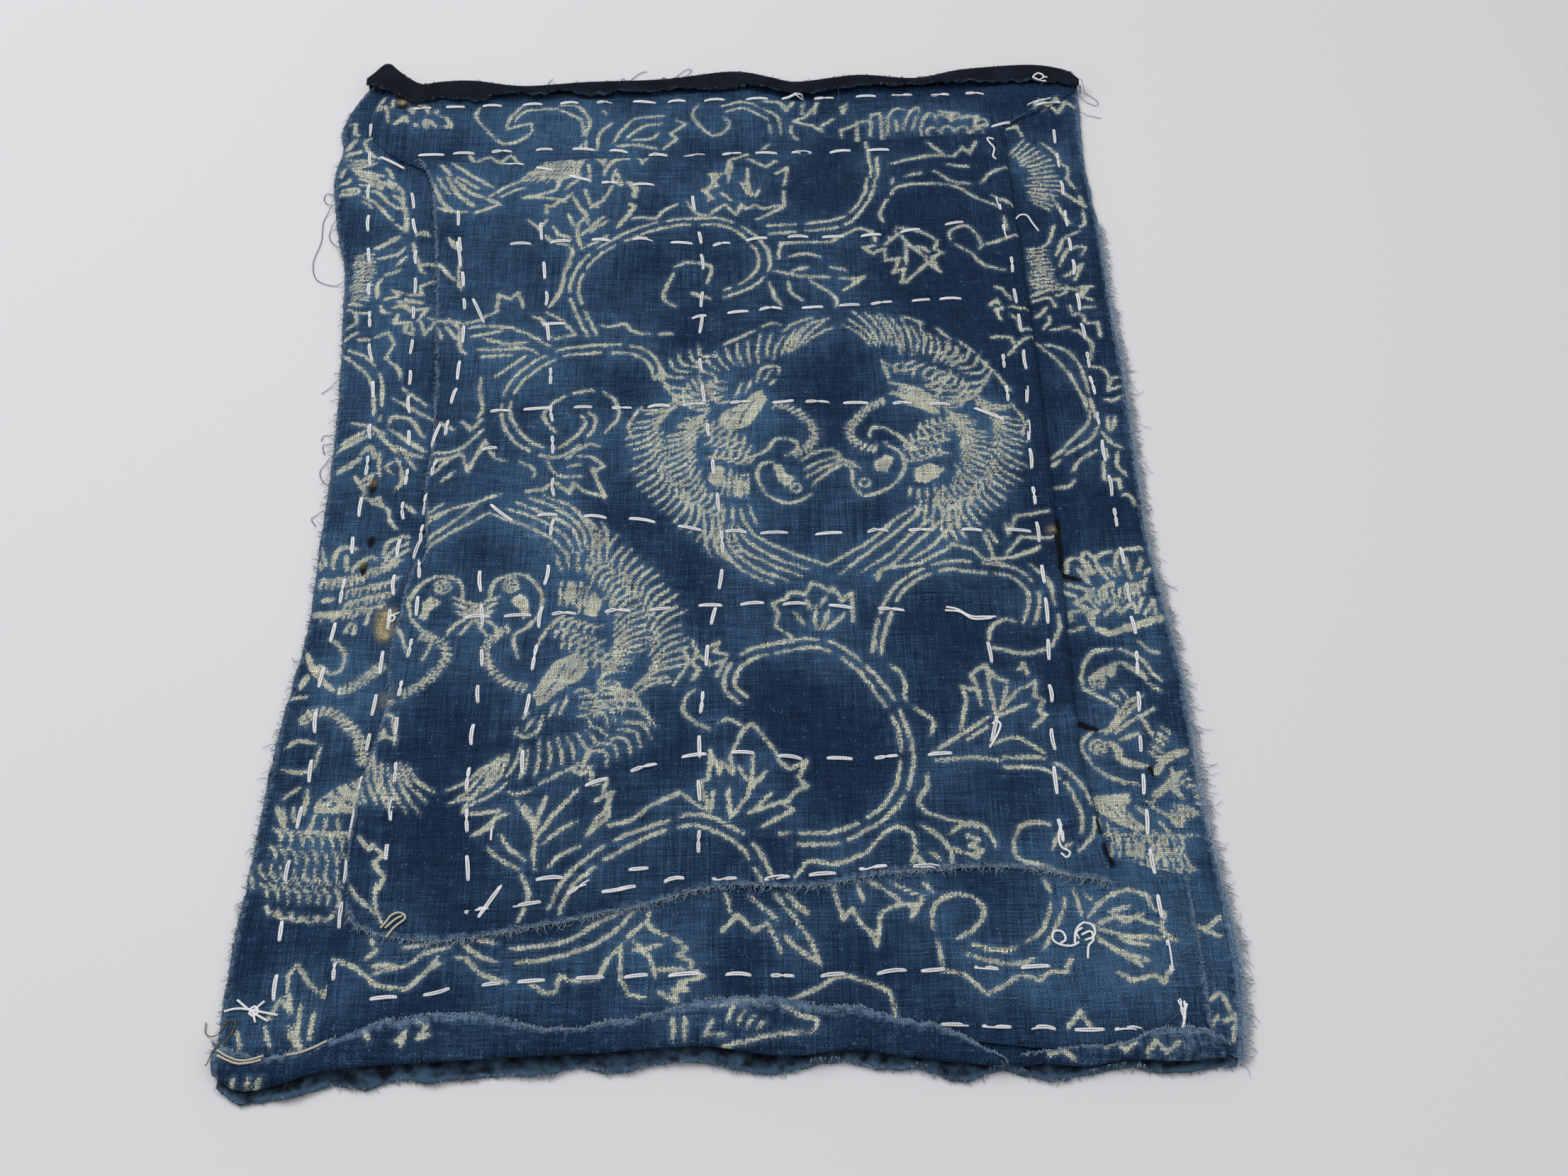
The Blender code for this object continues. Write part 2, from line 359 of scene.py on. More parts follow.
def bump_from(tree, shader, height, depth):
    """Feeds the shader's normal from a height of 0 to 1 that stands for depth metres."""
    bump = tree.nodes.new("ShaderNodeBump")
    bump.inputs["Distance"].default_value = depth
    tree.links.new(height, bump.inputs["Height"])
    tree.links.new(bump.outputs["Normal"], shader.inputs["Normal"])


def dark_cloth():
    """Near-black indigo cotton, paler and bluer where its edge is worn."""
    made, tree, shader, vector, weave = new_cloth_material("dark cotton", 0.92)
    weave.inputs["Threads"].default_value = 1250.0
    tone = sum_of(tree, "MULTIPLY_ADD", weave.outputs["Tone"], 1.1, 0.35)
    patches = noise_of(tree, vector, 70.0, 4.0, 0.65)
    ground = mixed(tree, step_of(tree, patches, 0.35, 0.75), DARK_DEEP, DARK_MID)
    ground = mixed(tree, 1.0, ground, wired(tree, "ShaderNodeCombineXYZ", tone, tone, tone), "MULTIPLY")
    wear = wired(tree, "ShaderNodeAttribute", attribute_name="wear", out=2)
    uneven = sum_of(tree, "MULTIPLY_ADD", noise_of(tree, vector, 240.0, 4.0), 1.8, -0.9)
    rub = sum_of(tree, "ADD", wear, uneven)
    colour = mixed(tree, step_of(tree, rub, 0.2, 1.0), ground, DARK_WORN)
    tree.links.new(colour, shader.inputs["Base Color"])
    bump_from(tree, shader, weave.outputs["Height"], 0.00016)
    return made


DARK_DEEP = (0.0025, 0.0045, 0.009, 1)
DARK_MID = (0.006, 0.0125, 0.026, 1)
DARK_WORN = (0.045, 0.085, 0.14, 1)
WEAVE = plain_weave()
DARK_COTTON = dark_cloth()

band_rim = np.array([(x, y - 2.9) for x, y in TOP_EDGE], float)
inner_left = [(x + 2, y) for x, y in LEFT_EDGE[:-1]]
inner_right = [(x - 2, y) for x, y in RIGHT_EDGE[1:-1]]
backing = Weaving()
across = graded(330, [(0, 330, 1.3)], 1.3)
up = graded(490, [(0, 14, 1.3)], 11)
plan = spread(raw_edge(BACKING_END, 1.0, 3), smooth_line(band_rim, 3),
              smooth_line([BACKING_END[0]] + inner_left + [tuple(band_rim[0])], 3),
              smooth_line([BACKING_END[-1]] + inner_right + [tuple(band_rim[-1])], 3), across, up)
fine = np.arange(len(across))
sparse = np.unique(np.append(fine[::9], fine[-1]))
rows = []
for number, points in enumerate(plan):
    keep = fine if number < 12 or number == len(up) - 1 else sparse
    lift = 0.7 * (1 - ease(number, 0, 8)) * (1 + cloudy(points[:, 0], points[:, 1], 9, 5))
    body = np.column_stack([points, BACKING_Z + lift])
    rows.append(backing.row(body[keep], keep))
rim = plan[-1]
top_z = BAND_Z + puff(rim[:, 0], rim[:, 1]) + TIP_RISE * np.exp(-(((rim[:, 0] + 157) / TIP_WIDE) ** 2))
radius = (top_z - BACKING_Z) / 2
width = rim[:, 1] - level(BAND_EDGE, rim[:, 0]) + 1.4 * cloudy(rim[:, 0], 0, 3.0, 9)
width = np.maximum(2.0, width + cloudy(rim[:, 0], 0, 9, 10))
for angle in np.linspace(0, np.pi, 8)[1:]:
    points = np.column_stack([rim[:, 0], rim[:, 1] + radius * np.sin(angle),
                              BACKING_Z + radius * (1 - np.cos(angle))])
    rows.append(backing.row(points, fine, 1.0))
for part in np.linspace(0, 1, 9)[1:]:
    sag = 0.5 * part**2 + 0.5 * np.sin(np.pi * part) * cloudy(rim[:, 0], part * 9, 11, 12)
    points = np.column_stack([rim[:, 0], rim[:, 1] - width * part, top_z - sag])
    rows.append(backing.row(points, fine, 1.0 + part))
for low, high in zip(rows, rows[1:]):
    backing.knit(low, high)
backing_cloth = backing.make("backing_cotton", DARK_COTTON)
points, turned = backing.points[0], np.concatenate(backing.facts)
inward = points[:, 1] - level(BACKING_END, points[:, 0])
foot_wear = 0.5 * (1 - ease(inward, 8, 16)) + 0.5 * (1 - ease(inward, 0.2, 2.2))
backing.note(backing_cloth, "wear", np.maximum(foot_wear, 0.5 * ease(turned, 1.8, 2.0)))
wall = backing_cloth.modifiers.new("thickness", "SOLIDIFY")
wall.thickness = BACKING_THICK * MM
wall.offset = 0
bpy.context.view_layer.objects.active = backing_cloth
bpy.ops.object.modifier_apply(modifier=wall.name)
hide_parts("backing_cloth")
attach(backing_cloth, "root")

# Base cloth
# A stencil-printed indigo cotton as large as the backing, seen as a strip down both sides. Its foot
# is turned up over the front as a raw hem, with a short lumpy roll at the right.

BASE_Z = 1.9
CLOTH = 0.45
HEM_Z = 5.1
HEM_FOLD = [(-165, -241), (-156, -247), (-143, -245.5), (-130, -241), (-118, -239), (-100, -238), (-72, -237),
            (-45, -236), (-8, -234), (20, -238), (42, -236), (62, -239), (92, -243)]
HEM_EDGE = [(-166, -230), (-150, -236), (-134, -233), (-124, -230), (-112, -225), (-96, -223),
            (-80, -223), (-70, -225), (-58, -229), (-46, -228), (-28, -225), (-15, -222), (-6, -219),
            (18, -219), (34, -222), (48, -223), (58, -227), (70, -229), (80, -234), (93, -241)]
HEM_RIGHT = [(104, -242), (118, -243), (132, -241), (150, -242), (163, -241), (169, -243)]
ROLL_EDGE = [(98, -240), (108, -238), (120, -237), (130, -236.5), (138, -233.5), (146, -231),
             (156, -231.5), (166, -236)]
SEWING_ROWS = [
    # the path in plan, number of stitches
    ([(-147, 218.5), (-105, 220.5), (-39, 222), (26, 223.5), (125, 226)], 16),
    ([(-141, 188), (-70, 191), (-6, 185), (80, 186)], 13),
    ([(-103, 183), (-83, 178), (-54, 168), (-26, 166)], 5),
    ([(-95, 130), (-37, 132), (-5, 128), (25, 132), (71, 133), (108, 141)], 12),
    ([(-79, 82), (-60, 83)], 1),
    ([(-16, 85), (24, 90), (69, 93), (105, 95)], 8),
    ([(-99, 35), (-69, 37), (-34, 37), (23, 39), (96, 36)], 12),
    ([(-78, -17), (-33, -20), (-5, -26), (36, -28), (77, -27), (122, -28)], 11),
    ([(-102, -65), (-58, -64), (-18, -62), (22, -61), (72, -65)], 10),
    ([(-53, -139), (-36, -133), (-19, -128), (1, -125), (33, -128), (85, -127)], 8),
    ([(-93, -186), (-75, -184), (-56, -181), (-40, -172), (-20, -170)], 4),
    ([(-40, -179), (-16, -175), (22, -175), (57, -171), (78, -172)], 7),
    ([(-120, -216), (-100, -215), (-84, -212), (-26, -209), (26, -210), (62, -209), (114, -208)], 14),
    ([(70, -228), (106, -230), (142, -231)], 5),
    ([(-162, 218), (-156, 150), (-148, 81), (-143, 45), (-142, -5), (-145, -57), (-148, -94),
      (-147, -129), (-150, -168), (-148, -219)], 22),
    ([(-139, 171), (-133, 127), (-131, 93), (-129, 55), (-126, 18), (-125, -36), (-126, -73),
      (-128, -123), (-130, -160), (-129, -213)], 22),
    ([(-117, 155), (-109, 91), (-109, 55), (-112, 19), (-117, -12), (-115, -62), (-118, -101),
      (-116, -136), (-116, -172)], 19),
    ([(-93, -38), (-89, -82), (-90, -119), (-90, -138), (-87, -176)], 8),
    ([(-80, 147), (-75, 99), (-71, 57), (-68, 18), (-66, -19), (-68, -63), (-71, -107), (-71, -136)], 14),
    ([(-14, 162), (-9, 121), (-9, 60), (-5, 18), (0, -38), (-5, -77), (-8, -114), (-8, -168)], 18),
    ([(121, 160), (124, 118), (124, 97), (125, 60), (123, 22), (122, -19), (122, -61), (120, -99),
      (118, -141), (118, -166)], 18),
    ([(151, 205), (151, 146), (151, 94), (152, 45), (153, 3), (154, -49), (154, -82), (151, -116),
      (149, -152), (149, -190), (152, -230)], 26),
]
STITCH_LONG = 8.6
ODD_STITCHES = [
    # x, y, length, turn in degrees
    (108, 31, 13, -28), (-79, -182, 13, 58), (-59, -174, 9, 5), (-36, -178, 10, 10), (99, -84, 9, 95),
    (98, -117, 11, 75), (-114, 125, 15, -80), (-103, 91, 15, -68), (-115, 24, 11, 76),
    (-118, -31, 9, 78), (116, 59, 7, 90), (116, 42, 8, 92), (-93, 16, 6, 8), (-149, 185, 14, -35),
    (127, 204, 9, 18), (146, 219, 12, 25), (150, 218, 12, 16), (-86, -16, 12, -42),
]


def threaded():
    """Every running stitch as (x, y, length, angle): its row's path, unevenly spaced as by hand."""
    rng = random.Random(7)
    out = []
    for path, number in SEWING_ROWS:
        line = smooth_line(path, 1.0)
        for k in range(number):
            at = (k + 0.5 + rng.uniform(-0.12, 0.12)) / number
            (x0, y0), (x1, y1) = along(line, [max(0, at - 0.01), min(1, at + 0.01)])
            angle = math.atan2(y1 - y0, x1 - x0) + rng.gauss(0, 0.05)
            out.append(((x0 + x1) / 2, (y0 + y1) / 2, STITCH_LONG + rng.gauss(0, 1.0), angle))
    for x, y, length, turn in ODD_STITCHES:
        out.append((x, y, length, math.radians(turn)))
    return out


class Plan:
    """A plan of the whole cloth as a grid of distances in mm, less than 0 inside what is drawn."""

    LOW = (-186.0, -262.0)
    STEP = 0.5
    REACH = 4.0
    WIDE, TALL = 744, 1048

    def __init__(self):
        self.grid = np.full((self.TALL, self.WIDE), self.REACH)
        self.x = self.LOW[0] + self.STEP * np.arange(self.WIDE)
        self.y = self.LOW[1] + self.STEP * np.arange(self.TALL)

    def window(self, points, reach):
        """The part of the grid that the points and the reach round them take up."""
        low = np.floor((points.min(0) - reach - self.LOW) / self.STEP).astype(int)
        high = np.ceil((points.max(0) + reach - self.LOW) / self.STEP).astype(int) + 1
        low, high = np.maximum(low, 0), np.minimum(high, (self.WIDE, self.TALL))
        return slice(low[1], max(low[1], high[1])), slice(low[0], max(low[0], high[0]))

    def mark(self, line, half, reach=2.5):
        """Draws a line with a half width at each of its points."""
        line = np.asarray(line, float)
        half = np.broadcast_to(half, len(line))
        for a, b, start, end in zip(line[:-1], line[1:], half[:-1], half[1:]):
            rows, columns = self.window(np.array([a, b]), reach)
            px, py = self.x[columns][None], self.y[rows][:, None]
            way = b - a
            t = np.clip(((px - a[0]) * way[0] + (py - a[1]) * way[1]) / max(way @ way, 1e-6), 0, 1)
            away = np.hypot(px - a[0] - t * way[0], py - a[1] - t * way[1]) - start - t * (end - start)
            np.minimum(self.grid[rows, columns], away, out=self.grid[rows, columns])

    def fill(self, outline):
        """Draws a solid patch inside an outline."""
        outline = np.asarray(outline, float)
        rows, columns = self.window(outline, 2.5)
        px, py = np.meshgrid(self.x[columns], self.y[rows])
        odd = np.zeros(px.shape, bool)
        away = np.full(px.shape, 9.0)
        for a, b in zip(outline, np.roll(outline, -1, axis=0)):
            way = b - a
            t = np.clip(((px - a[0]) * way[0] + (py - a[1]) * way[1]) / max(way @ way, 1e-6), 0, 1)
            away = np.minimum(away, np.hypot(px - a[0] - t * way[0], py - a[1] - t * way[1]))
            if a[1] != b[1]:
                odd ^= ((a[1] > py) != (b[1] > py)) & (px < a[0] + way[0] * (py - a[1]) / way[1])
        np.minimum(self.grid[rows, columns], np.where(odd, -away, away), out=self.grid[rows, columns])

    def cut(self, line, half):
        """Takes a dark line out of what is drawn."""
        kept = self.grid
        self.grid = np.full_like(kept, self.REACH)
        self.mark(line, half)
        self.grid = np.maximum(kept, -self.grid)

    def at(self, x, y):
        """The grid's value at plan points."""
        u = np.clip((x - self.LOW[0]) / self.STEP, 0, self.WIDE - 1.01)
        v = np.clip((y - self.LOW[1]) / self.STEP, 0, self.TALL - 1.01)
        i, j = u.astype(int), v.astype(int)
        fu, fv = u - i, v - j
        low = self.grid[j, i] * (1 - fu) + self.grid[j, i + 1] * fu
        high = self.grid[j + 1, i] * (1 - fu) + self.grid[j + 1, i + 1] * fu
        return low * (1 - fv) + high * fv

    def crowding(self, x, y, reach=18):
        """The share of print in the cloth round plan points, from 0 to 1."""
        share = (self.grid < 0).astype(float)
        for axis in (0, 1, 0, 1):
            share = np.moveaxis(share, axis, 0)
            run = np.cumsum(np.pad(share, ((reach, reach), (0, 0)), mode="edge"), axis=0)
            share = np.moveaxis((run[2 * reach:] - run[:-2 * reach]) / (2 * reach), 0, axis)
        kept, self.grid = self.grid, share
        out = self.at(x, y)
        self.grid = kept
        return out


def spots(x, y, table):
    """Soft round spots from a table of (x, y, radius, amount), added up at plan points."""
    return sum(amount * np.exp(-((x - a) ** 2 + (y - b) ** 2) / r**2) for a, b, r, amount in table)


# Where wear and washing have left the dye paler, where it has stayed deep, and where it is stained
# brown: x, y, radius, amount.
FADED = [
    (-110, 205, 45, 0.12), (-50, 207, 45, 0.18), (30, 212, 40, 0.05), (-120, 150, 40, 0.2),
    (-60, 165, 45, 0.2), (-95, 70, 45, 0.22), (-155, 60, 30, 0.2), (-150, -20, 30, 0.15),
    (-75, -30, 25, 0.35), (145, -205, 35, 0.5), (130, -160, 30, 0.2), (-20, -215, 50, 0.1),
    (-130, -100, 22, 0.4), (20, -65, 35, 0.1), (-5, 40, 30, 0.1), (95, 140, 38, -0.45),
    (45, 10, 22, -0.3), (25, -120, 34, -0.3), (100, 60, 30, -0.25), (90, -80, 30, -0.2),
    (-145, 120, 25, -0.1), (-90, -140, 35, -0.25), (150, 90, 35, -0.3), (120, -20, 30, -0.25),
    (-50, 115, 25, -0.1),
]
STAINED = [(-147.5, 223.8, 2.2, 1.5), (-126.5, -62, 3, 1.6), (-127, -67, 2.8, 1.6), (-126.5, -71, 2.2, 1.3),
           (-138, -38, 1.6, 0.5), (-138, 2, 1.8, 0.4), (-123, -100, 3, 0.4), (127.5, -28, 1.8, 0.7)]


def faded(plan, x, y):
    """How pale the dye is at plan points, about 0.5 in the middle: paler where the print is close. In the slits
    it falls far below 0, and the material paints them near-black: partly the dark backing seen through the tear,
    partly painted shade in the gap.
    """
    pale = np.clip(0.22 + 1.5 * plan.crowding(x, y) + spots(x, y, FADED), 0, 1.3)
    return pale - 2.5 * np.clip(0.8 - shaded_slits.at(x, y), 0, 1)


def note_dye(weaving, cloth, ink, wear, stain, fade):
    """Keeps the four numbers for each point that the printed cotton's material reads."""
    for name, values in (("print", ink), ("wear", wear), ("stain", stain), ("fade", fade)):
        weaving.note(cloth, name, values)


STITCHES = threaded()
# Tears and small holes in the printed cloths, painted near-black: partly the dark backing seen through them,
# partly painted shade in the gap.
SHADED_SLITS = [
    # path in plan, half width
    ([(130.4, -22), (130, -27), (129.4, -31), (129.3, -37), (129.6, -42), (128.9, -46.5)], 0.7),
    ([(128.9, -46.5), (131.5, -48.8), (136.5, -50.5)], 0.6),
    ([(129, -114), (132, -115.5), (136, -117)], 0.6),
    ([(130.8, -154), (131.5, -160)], 0.4),
    ([(132.3, -165), (133, -168), (134.7, -171.5)], 0.75),
    ([(152.5, -132.5), (153.5, -136)], 0.8),
    ([(-148.4, 220.4), (-147.5, 220.6), (-146.6, 220.4)], 1.6),
    ([(-138.2, 3), (-138, 0.5), (-138.2, -2)], 1.2),
    ([(-136, -26.5), (-135.8, -28), (-136, -29.5)], 0.9),
    ([(-137.8, -38), (-137.4, -40.5), (-137.6, -43)], 1.1),
]
shaded_slits = Plan()
for line, half in SHADED_SLITS:
    shaded_slits.mark(line, [0.6 * half] + [half] * (len(line) - 2) + [0.5 * half])
ROW_REACH = 16.0
ROW_DISTANCE = Plan()
ROW_DISTANCE.grid[:] = ROW_REACH
for path, _ in SEWING_ROWS:
    ROW_DISTANCE.mark(smooth_line(path, 12.0), 0.0, ROW_REACH)
pulled = Plan()
for x, y, length, angle in STITCHES:
    reach = np.array([math.cos(angle), math.sin(angle)]) * length / 2
    pulled.mark([(x, y) - reach, (x, y) + reach], 0.0, 4.0)


def relief(x, y):
    """How far the layers stand above their flat heights, mm: quilted puffs, rows and stitches."""
    rows = 0.45 * np.exp(-((ROW_DISTANCE.at(x, y) / 6) ** 2))
    pulls = 0.3 * np.exp(-((pulled.at(x, y) / 1.7) ** 2))
    soft = 0.22 * cloudy(x, y, 21, 31) + 0.12 * cloudy(x, y, 8, 33)
    return puff(x, y) + soft - rows - pulls


def brush(plan, points, width=1.6, tips=0.6):
    """A resist line through the points, thinner at its tips and a little uneven."""
    line = smooth_line(points, 1.3)
    t = np.linspace(0, 1, len(line))
    half = width / 2 * (tips + (1 - tips) * np.sin(np.pi * t) ** 0.5)
    line = line + 0.25 * np.column_stack([cloudy(line[:, 0], line[:, 1], 3, 41),
                                          cloudy(line[:, 0], line[:, 1], 3, 42)])
    plan.mark(line, half * (1 + 0.22 * cloudy(line[:, 0], line[:, 1], 2.5, 43)))


def set_down(points, x, y, turn=0.0, size=1.0, flip=1):
    """Points of a motif turned by degrees, sized, mirrored if flip is -1, and moved to x, y."""
    c, s = math.cos(math.radians(turn)), math.sin(math.radians(turn))
    return [(x + size * (c * flip * px - s * py), y + size * (s * flip * px + c * py)) for px, py in points]


def broken(line, gap=1.8, every=27.0, seed=1):
    """The line cut into pieces where the stencil's bridges were."""
    rng = random.Random(seed)
    line = smooth_line(line, 1.0)
    pieces = []
    start = 0
    while start < len(line) - 4:
        end = min(len(line), start + int(every * rng.uniform(0.6, 1.3)))
        if end - start > 3:
            pieces.append(line[start:end:3])
        start = end + round(gap)
    return pieces


def vine(plan, points, gap=4.0, width=1.5, seed=1):
    """A scrolling stem: two resist lines side by side, broken where the stencil's bridges were."""
    line = smooth_line(points, 2.0)
    across = np.gradient(line, axis=0)
    across = np.stack([-across[:, 1], across[:, 0]], axis=1)
    across /= np.maximum(np.linalg.norm(across, axis=1, keepdims=True), 1e-9)
    apart = gap / 2 * (1 + 0.2 * cloudy(line[:, 0], line[:, 1], 17, seed))[:, None]
    for side in (-1, 1):
        for piece in broken(line + side * across * apart, seed=seed * 3 + side):
            brush(plan, piece, width, 0.8)


def feathers(plan, base, tips, count, bend=0.0, width=1.3, ends=0.6):
    """A fan of feather lines from along the base to along the tips, each bent sideways by bend mm."""
    rng = random.Random(count)
    starts = along(smooth_line(base, 1.0), np.linspace(0, 1, count))
    stops = along(smooth_line(tips, 1.0), np.linspace(0, 1, count))
    for a, b in zip(starts, stops):
        a, b = a + (b - a) * rng.uniform(0, 0.22), b + (a - b) * rng.uniform(-0.06, 0.16)
        side = np.array([a[1] - b[1], b[0] - a[0]]) / max(1e-6, np.linalg.norm(b - a))
        brush(plan, [a, (a + b) / 2 + side * bend, b], width, ends)


def scales(plan, line, count, wide, deep, width=1.3):
    """A row of small arches along a line, standing out to its left."""
    line = smooth_line(line, 1.0)
    for k in range(count):
        a, b = along(line, [max(0, (k + 0.1) / count), min(1, (k + 0.9) / count)])
        way = (b - a) / max(1e-6, np.linalg.norm(b - a))
        side = np.array([-way[1], way[0]])
        middle = (a + b) / 2
        arch = [middle + way * wide / 2 * math.cos(t) + side * deep * math.sin(t)
                for t in np.linspace(math.pi, 0, 6)]
        brush(plan, arch, width, 0.7)


def barbs(plan, line, count, length, width=1.35):
    """Short strokes across a line, as on a crane's neck."""
    line = smooth_line(line, 1.0)
    for k in range(count):
        a, b = along(line, [max(0, (k + 0.4) / count), min(1, (k + 0.6) / count)])
        way = (b - a) / max(1e-6, np.linalg.norm(b - a))
        side = np.array([-way[1], way[0]]) + 0.35 * way
        middle = (a + b) / 2
        brush(plan, [middle - side * length / 2, middle + side * length / 2], width, 0.8)


def zigzag(plan, points, width=1.5):
    """A jagged resist line, as round a leaf's teeth."""
    points = np.array(points)
    line = np.vstack([np.linspace(a, b, 4, endpoint=False) for a, b in zip(points, points[1:])]
                     + [points[-1:]])
    line = line + 0.3 * np.column_stack([cloudy(line[:, 0], line[:, 1], 2.5, k) for k in (47, 48)])
    plan.mark(line, width / 2 * (1 + 0.25 * cloudy(line[:, 0], line[:, 1], 2, 51)))


def draw(plan, chart, x=0.0, y=0.0, turn=0.0, size=1.0, flip=1):
    """Draws a chart. Each row of it is a kind of mark, its numbers, and its points in mm."""
    for number, row in enumerate(chart.strip().splitlines()):
        kind, *words = row.split()
        given = [float(word) for word in words if "," not in word and word != "|"]
        lines = [[tuple(float(v) for v in word.split(",")) for word in part.split() if "," in word]
                 for part in row.split("|")]
        lines = [set_down(line, x, y, turn, size, flip) for line in lines]
        line = lines[0]
        if kind == "vine":
            vine(plan, line, seed=number + 11)
        elif kind == "line":
            for piece in broken(line, seed=number) if len(line) > 4 else [line]:
                brush(plan, piece, *given)
        elif kind == "zig":
            zigzag(plan, line)
        elif kind == "fan":
            feathers(plan, line, lines[1], int(given[0]), flip * given[1])
        elif kind == "arches":
            scales(plan, line[::flip], int(given[0]), given[1] * size, given[2] * size)
        elif kind == "barbs":
            barbs(plan, line[::flip], int(given[0]), given[1] * size)
        elif kind == "patch":
            plan.fill(line)
        elif kind == "cut":
            plan.cut(smooth_line(line, 1.5), given[0] / 2)
        elif kind == "ring":
            ring = np.linspace(0, 2 * np.pi, 13)
            plan.mark(np.array(line[0]) + given[0] * np.column_stack([np.cos(ring), np.sin(ring)]), 0.5)


# The cranes of the ring are drawn as the left one, from the ring's middle: what both have first.
CRANE = """
fan 22 2 -57,24 -62,14 -64,4 -63,-7 -59,-18 -52,-29 -44,-37 | -74,16 -80,4 -80,-9 -76,-22 -69,-34 -59,-45 -46,-56
fan 19 1.8 -45,17 -50,9 -52,-1 -51,-11 -47,-21 -41,-29 | -59,10 -65,0 -66,-11 -63,-22 -57,-32 -48,-40
fan 8 3 -51,20 -55,28 -52,38 -46,44 | -66,26 -69,36 -63,45 -52,51
fan 6 1.5 -37,8 -44,10 -51,12 | -40,3 -48,5 -56,7
fan 6 1.5 -29,-8 -36,-6 -44,-5 | -34,-14 -41,-12 -49,-10
fan 6 1.5 -30,-3 -38,0 -46,2 | -34,-8 -42,-5 -50,-3
fan 6 1.5 -33,2 -41,5 -48,8 | -36,-3 -45,0 -53,3
line 1.3 -75,18 -80,8 -78,1
fan 6 3 -45,16 -47,22 -44,28 | -59,21 -60,28 -53,36
fan 5 2 -38,20 -41,24 -39,29 | -47,22 -50,28 -46,35
"""
LEFT_BIRD = """
patch -31,7 -35,5 -41,6 -44,10 -41,15 -37,17 -33,20 -30,24 -26,26 -24,21 -27,14
cut 0.9 -35,8 -33,14 -28,22
cut 0.8 -40,9 -37,14
line 1.4 -28,30 -26,37 -19,38 -20,32 -24,27
line 1.2 -25,31 -22,36
line 1.2 -33,24 -30,31
line 1.2 -37,22 -34,30
fan 14 0.8 -45,34 -34,38 -19,42 -9,50 | -54,41 -38,51 -27,55 -20,56 -12,58 -2,66 4,60
line 1.3 -42,50 -37,53 -28,58
line 1.3 -26,60 -21,62 -18,61
line 1.3 -17,57 -12,62 -4,66
line 1.3 -7,62 3,65
fan 5 0 -32,-16 -37,-15 -41,-16 | -32,-31 -37,-31 -42,-28
patch -33,-22 -36,-20 -38,-27 -35,-30
patch -44,-25 -48,-20 -45,-13 -41,-15 -42,-20
fan 4 0 -32,-33 -36,-34 -41,-32 | -29,-42 -35,-43 -42,-42
line 1.5 -33,-42 -28,-49 -17,-56 -2,-63
line 1.5 -36,-43 -32,-51 -22,-59 -9,-65
line 1.5 -39,-43 -35,-54 -26,-61 -12,-68
line 1.5 -41,-44 -38,-55 -29,-64 -17,-70
line 1.5 -44,-44 -41,-56 -33,-66 -23,-71
line 1.4 -46,-44 -44,-55 -36,-63
line 1.4 -49,-45 -48,-53 -46,-58
barbs 17 3.2 -22,18 -16,17 -10,12 -6,6 -5,0 -8,-5 -14,-9
"""
RIGHT_BIRD = """
fan 15 1.5 -22,46 -30,43 -41,40 -51,36 | -9,60 -14,69 -20,71 -26,66 -37,62 -48,53 -58,45
line 1.4 -33,65 -42,61
line 1.4 -47,58 -53,52
line 1.4 -56,51 -62,45
line 1.4 -63,42 -69,35
line 1.4 -68,36 -76,24
fan 5 -1 -26,30 -26,26 -26,21 | -49,16 -49,13 -45,11
line 2 -26,29 -37,25 -46,17
line 2.2 -27,24 -36,19 -44,13
line 1.5 -24,41 -26,31
line 1.2 -24,40 -32,35 -40,37
fan 6 -2 -28,33 -38,31 -47,27 | -33,40 -44,38 -54,32
barbs 17 3.2 -24,20 -17,16 -12,10 -9,5 -10,-1 -15,-5 -20,-6
patch -34,-17 -40,-14 -46,-17 -43,-21 -38,-24 -34,-23
cut 0.7 -37,-16 -38,-23
fan 5 0 -32,-25 -38,-26 -44,-24 | -31,-31 -38,-32 -46,-30
fan 6 0 -36,-30 -42,-31 -49,-31 | -33,-42 -41,-46 -50,-46
line 1.5 -33,-35 -23,-43 -15,-51 2,-63
line 1.5 -36,-36 -27,-45 -17,-54 -3,-67
line 1.5 -40,-40 -31,-48 -22,-58 -11,-66
line 1.5 -44,-41 -34,-51 -26,-60 -16,-68
line 1.5 -47,-44 -38,-55 -30,-61
"""
LEFT_HEAD = """
line 1.5 -32,-10 -24,-6 -21,-1 -16,0
line 1.5 -16,0 -12,-3 -13,-7 -17,-9
line -22,-12 -27,-14 -28,-20 -25,-28
line -25,-28 -18,-32 -12,-31 -7,-28
patch -22,-14 -19,-13 -17,-18 -13,-20 -17,-25 -20,-21
ring 1.9 -13,-25
line 1.5 -11,-12 -6,-8 1,-6 4,-8
line 1.4 -9,-16 -3,-12 5,-9
line 1.4 -7,-24 -1,-18 6,-13
line 1.4 -9,-20 -2,-15 5,-12
"""
BIG_HEAD = """
line -5,-21 -6,-29 -10,-32 -16,-33
line -16,-33 -21,-30 -25,-22 -24,-14
line -24,-14 -20,-9 -16,-6
patch -13,-21 -17,-24 -20,-21 -20,-17 -21,-14 -18,-13 -17,-17
ring 1.3 -13,-28
ring 3.1 -13,-28
line 1.5 -15,-6 -16,0 -18,5
line 1.5 -24,1 -27,-7 -31,-12 -34,-15
line 1.5 -8,-20 0,-16 7,-11 10,-6
line 1.5 -7,-17 0,-13 5,-6
line 1.4 -9,-23 0,-19 4,-16
"""
RIGHT_HEAD = """
line 1.5 -17,0 -18,5 -23,5
line 1.5 -23,5 -29,0 -37,-11
line -23,-3 -29,-9 -30,-16 -26,-24
line -26,-24 -19,-28 -13,-29 -9,-24
line -9,-24 -9,-16 -5,-13
patch -18,-13 -23,-9 -26,-11 -23,-18 -19,-17
ring 2 -14,-23
line 1.4 -13,-16 -8,-12 -2,-10
"""


